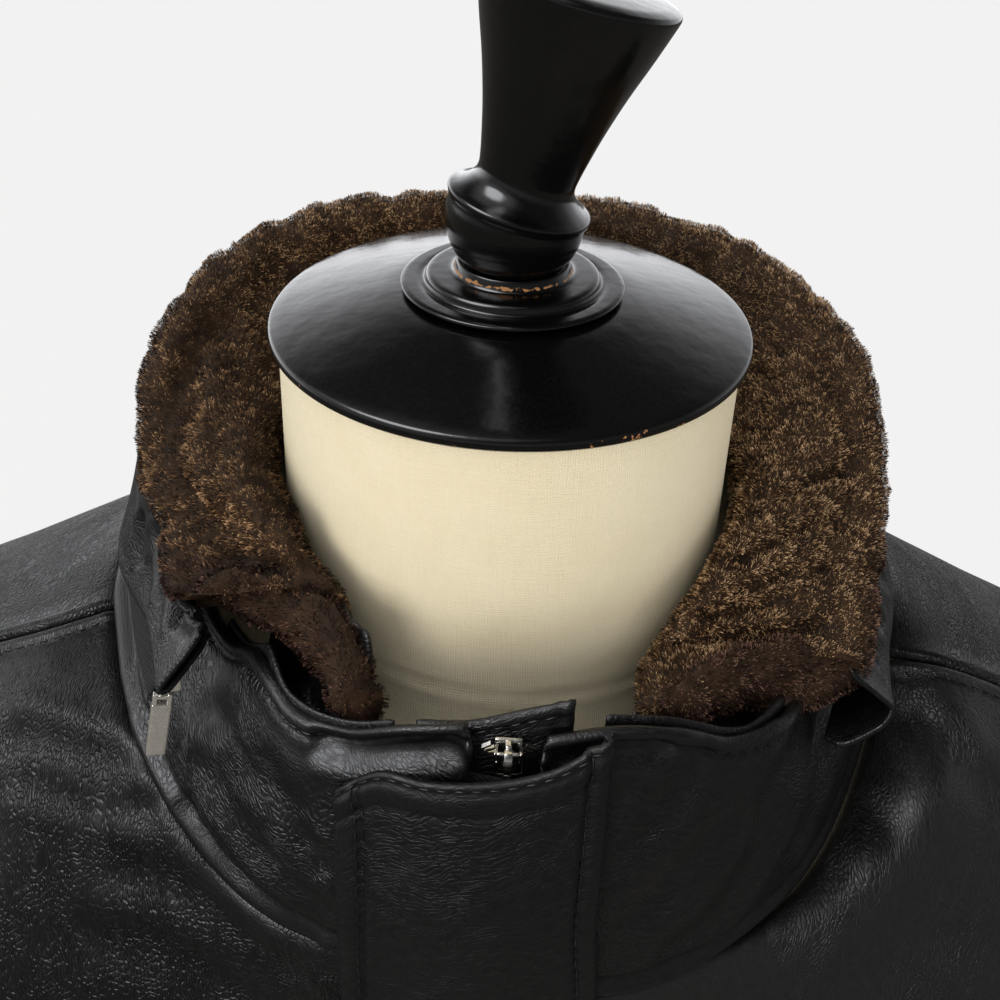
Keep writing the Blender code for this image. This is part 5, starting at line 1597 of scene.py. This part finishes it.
# painted shade: the colour is a little darker where the weave and the slubs are low
weave_shade = add(tree, "MapRange", {"ends": (0.3, 1.9, 0.92, 1.0)}, {0: height})
shade = add(tree, "Mix", {"data_type": "RGBA", "blend_type": "MULTIPLY", 0: 1.0},
            {6: aged, 7: weave_shade})
add(tree, shader, {"Roughness": 0.88, "Specular IOR Level": 0.2},
    {"Base Color": (shade, 2), "Normal": bump})

NECK_SEAM = 78.0            # down from the cap's rim
NECK_GIRTH = 65.0           # the weave is laid on round a neck of this radius
FORM_DOWN = graded(960, 12.0, 1.5, [(0, 110)])
FORM_ROUND = np.linspace(0, 1, 145)[:-1]
grid = refined(form_sections(), FORM_DOWN, FORM_ROUND, closed=True)
out = normals(grid, True)
depth = -grid[..., 2] - (NECK_SEAM + 4.0 * np.sin(np.arctan2(grid[..., 0], -grid[..., 1])))
seam = (-0.5 * bell(depth, 0, 0.9) + 0.3 * bell(depth, 2.5, 1.5)
        + 0.15 * bell(depth, -2.5, 1.5))
rings = capped(grid + out * np.where(np.abs(depth) < 12, seam, 0)[..., None])


def round_quads(rings):
    """The cells of closed rings, each starting downwards."""
    index = np.arange(rings.shape[0] * rings.shape[1]).reshape(rings.shape[:2])
    return cells(index, closed=True)[:, [0, 3, 2, 1]]


turn = np.arctan2(rings[..., 0], -rings[..., 1])
uv = np.stack([turn * NECK_GIRTH, rings[..., 2]], axis=-1).reshape(-1, 2) * MM
fit(build("form_torso", rings.reshape(-1, 3), round_quads(rings), LINEN, uv),
    "form_torso")


def lacquer(name, color, rough):
    """Turned beech under several coats of black lacquer: a deep gloss with fine dust,
    faint brush waves and the tan wood where the coats are chipped or rubbed through."""
    made, tree, shader = material(name)
    where = add(tree, "TexCoord")
    here = {0: (where, "Object")}
    waves = add(tree, "TexNoise", {"Scale": 120.0, "Detail": 2.0}, here)
    dust = add(tree, "TexNoise", {"Scale": 1400.0, "Detail": 2.0}, here)
    specks = add(tree, "TexVoronoi", {"Scale": 90.0}, here)
    dots = add(tree, "Math LESS_THAN", {1: 0.045}, {0: specks})
    rare = add(tree, "Math GREATER_THAN", {1: 0.93}, {0: (specks, "Color")})
    speck = add(tree, "Math MULTIPLY", links={0: dots, 1: rare})
    worn = add(tree, "Attribute", {"attribute_name": "worn"})
    chips = add(tree, "TexNoise", {"Scale": 700.0, "Detail": 4.0}, here)
    chipped = add(tree, "Math ADD", links={0: (worn, "Fac"), 1: chips})
    bare = add(tree, "MapRange", {"From Min": 1.02, "From Max": 1.08}, {0: chipped})
    black = add(tree, "ValToRGB", {"stops": [(0.3, color), (0.8, "#0b0b0b")]}, {0: dust})
    wood = add(tree, "Mix", {"data_type": "RGBA", 7: linear("#a9794c")}, {0: bare, 6: black})
    dusty = add(tree, "Mix", {"data_type": "RGBA", 7: linear("#b9b6ae")},
                {0: speck, 6: (wood, 2)})
    haze = add(tree, "MapRange", {"ends": (0.35, 0.75, rough, rough + 0.05)}, {0: dust})
    dull = add(tree, "Math MULTIPLY_ADD", {1: 0.4}, {0: bare, 2: haze})
    bump = add(tree, "Bump", {"Strength": 0.25, "Distance": 0.0006}, {"Height": waves})
    add(tree, shader, links={"Base Color": (dusty, 2), "Roughness": dull, "Normal": bump})
    return made


LACQUER = lacquer("black lacquer on beech", "#040404", 0.15)


def turned(name, profile, made, steps=96, pivot=(0.0, 0.0, 0.0), lean=0.0, worn=None):
    """A turned piece: radius and height down its outer side, its corners eased."""
    profile = np.array(profile, float)
    eased = [profile[0]]
    for before, here, after in zip(profile, profile[1:], profile[2:]):
        reach = 0.45 * min(np.linalg.norm(here - before), np.linalg.norm(after - here), 12.0)
        a, b = here + unit(before - here) * reach, here + unit(after - here) * reach
        for t in np.linspace(0, 1, 5):
            eased.append((1 - t) ** 2 * a + 2 * t * (1 - t) * here + t * t * b)
    eased = np.array(eased + [profile[-1]])
    turn = np.linspace(0, 2 * np.pi, steps, endpoint=False)
    rings = np.stack([eased[:, :1] * np.cos(turn), eased[:, :1] * np.sin(turn),
                      np.repeat(eased[:, 1:], steps, axis=1)], axis=-1)
    points = rings @ np.array(Matrix.Rotation(lean, 3, "Y")).T + np.array(pivot)
    quads = round_quads(rings)
    if profile[0, 1] < profile[-1, 1]:
        quads = quads[:, ::-1]
    mask = np.zeros(rings.shape[:2]) if worn is None else worn(rings)
    fit(build(name, points.reshape(-1, 3), quads, made, tones={"worn": mask.ravel()}),
        name)


BOARD_TOP = FORM_LOWER[-1][3] - 0.4
BOARD_BOTTOM = BOARD_TOP - 14.0
turned("form_board", ((0, BOARD_TOP), (74, BOARD_TOP), (80, BOARD_TOP - 3),
                      (80, BOARD_BOTTOM + 5), (75, BOARD_BOTTOM), (0, BOARD_BOTTOM)), LACQUER)

# ================================================================ pole and base
# A steel tube in a flange, screwed to a heavy round cast-iron base with a low dome.
# Both are sprayed satin black.

IRON = lacquer("satin black paint on cast iron", "#08080a", 0.38)
POLE_RADIUS, BASE_RADIUS, BASE_THICKNESS = 16.0, 190.0, 16.0
ground = -CAP_HEIGHT
base_top = BASE_THICKNESS + 14.0 + ground
turned("form_pole", ((0, BOARD_BOTTOM - 0.3), (26, BOARD_BOTTOM - 0.3), (26, BOARD_BOTTOM - 8),
                     (POLE_RADIUS, BOARD_BOTTOM - 14), (POLE_RADIUS, base_top + 22),
                     (24, base_top + 16), (24, base_top + 0.3), (0, base_top + 0.3)), IRON,
       steps=64)
turned("form_base", ((0, base_top), (40, base_top), (60, base_top - 5),
                     (140, BASE_THICKNESS + 3 + ground),
                     (BASE_RADIUS - 6, BASE_THICKNESS + ground),
                     (BASE_RADIUS, BASE_THICKNESS - 6 + ground), (BASE_RADIUS, 3 + ground),
                     (BASE_RADIUS - 3, ground), (0, ground)), IRON)

# ================================================================ neck cap
# A turned wooden disc closes the linen neck. Its lacquer is chipped along the rim at
# the front, where the pale wood shows.

CAP_RADIUS = 65.0


# angle, half width and strength of each chip
CHIPS = ((-62, 5, 0.52), (-51, 3, 0.5), (-72, 4, 0.42), (-100, 3, 0.40), (-140, 2, 0.40),
         (60, 4, 0.45), (130, 3, 0.42))


def rim_chips(rings):
    """Chips just above and below the rim's edge, most of them at the front right."""
    turn = np.degrees(np.arctan2(rings[..., 1], rings[..., 0]))
    far = np.hypot(rings[..., 0], rings[..., 1])
    edge = bell(far, CAP_RADIUS, 0.8)
    mask = np.zeros(rings.shape[:2])
    for angle, width, amount in CHIPS:
        mask = np.maximum(mask, amount * bell(turn, angle, width))
    return mask * edge


turned("neck_cap", ((0, 9.4), (20, 9.3), (31, 8.7), (48, 4.8), (62, 1.2), (64.4, 0.4),
                    (CAP_RADIUS, -0.6), (CAP_RADIUS, -2.0), (64, -3.0), (0, -3.0)), LACQUER,
       steps=192, worn=rim_chips)

# ================================================================ ring and finial
# A turned ring with a cup is glued on the cap. The finial's ball sits in the cup and
# leans; where it has been turned in the cup, a thin line of wood shows.

FINIAL_LEAN = math.radians(13.0)
FINIAL_PIVOT = 28.4
BALL_RADIUS, SEAT_RADIUS, SEAT_RIM = 18.2, 18.6, 14.8
seat = [(SEAT_RADIUS * math.sin(a), FINIAL_PIVOT - SEAT_RADIUS * math.cos(a))
        for a in np.linspace(math.asin(SEAT_RIM / SEAT_RADIUS), 0, 6)]


def ring_wear(rings):
    """Bare wood in two thin lines: round the cup's mouth and in the ring's groove."""
    far = np.hypot(rings[..., 0], rings[..., 1])
    return (0.60 * bell(far, 15.6, 0.35)
            + 0.33 * bell(far, 23.6, 0.5))


turned("cap_ring", ((0, 9.75), (29.2, 9.75), (29.8, 10.2), (29.6, 10.8), (28.6, 11.15),
                    (25.6, 11.2), (24.2, 11.0), (23.5, 11.2), (23.1, 11.9), (23.0, 12.7),
                    (22.4, 13.3), (21.4, 13.5), (17.2, 13.6), (16.2, 13.8), (15.6, 14.6),
                    *seat)[::-1], LACQUER, worn=ring_wear)
ball = [(BALL_RADIUS * math.cos(a), BALL_RADIUS * math.sin(a))
        for a in np.linspace(0.12, -math.pi / 2, 14)]
ball[-1] = (0.0, -BALL_RADIUS)
turned("finial", ((0, 58.8), (14, 58.5), (21.5, 57.9), (24.0, 57.2), (24.6, 56.2),
                  (24.2, 54.6), (21.6, 46), (18.2, 36), (15.2, 25), (13.1, 15),
                  (12.5, 11.2), (12.9, 9.0), (14.6, 7.0), (16.8, 5.4), (18.5, 4.7), (18.9, 4.1),
                  (18.6, 3.0), *ball), LACQUER, pivot=(0, 0, FINIAL_PIVOT),
       lean=FINIAL_LEAN)

# ================================================================ stitches
# Lockstitch in bonded nylon, 4.2 mm apart, along every turned edge that shows. The
# thread lies sunk in the ditch that it has pulled into the hide.


def edge_row(grid, distance, edge, low, high, centre=CENTRE):
    """The line at a distance from one edge of a grid, between two shares of it."""
    across, down = lengths(grid)
    field = {"top": down, "bottom": down[-1:] - down, "left": across,
             "right": across[:, -1:] - across}[edge]
    out = normals(grid, centre=centre)
    if edge in ("left", "right"):
        grid, out, field = grid.swapaxes(0, 1), out.swapaxes(0, 1), field.T
    if edge in ("bottom", "right"):
        grid, out, field = grid[::-1], out[::-1], field[::-1]
    path, way = [], []
    for j in range(int(low * (grid.shape[1] - 1)), int(high * (grid.shape[1] - 1)) + 1):
        k = int(np.searchsorted(field[:, j], distance))
        t = (distance - field[k - 1, j]) / max(field[k, j] - field[k - 1, j], 1e-6)
        path.append(grid[k - 1, j] * (1 - t) + grid[k, j] * t)
        way.append(unit(out[k - 1, j] * (1 - t) + out[k, j] * t))
    return np.array(path), np.array(way)


stitched("stitches_of_the_placket", [
    edge_row(placket, TOP_STITCH, "top", 0.03, 0.97, FRONT_AXIS),
    edge_row(placket, SIDE_STITCH, "left", 0.01, 1.0, FRONT_AXIS),
    edge_row(placket, SIDE_STITCH, "right", 0.01, 1.0, FRONT_AXIS)])
stitched("stitches_of_the_stand_collar", [
    edge_row(stands[-1], STAND_STITCH, "bottom", 0.16, 0.62),
    edge_row(stands[1], STAND_STITCH, "bottom", 0.20, 0.62)])
stitched("stitches_of_the_zip_guard", [
    edge_row(guard, GUARD_STITCH, "top", 0.04, 0.96, FRONT_AXIS)])
stitched("stitches_of_the_shoulder_seams", [
    edge_row(fronts[side], STITCH_IN, "right", 0.0, 0.30) for side in (-1, 1)])
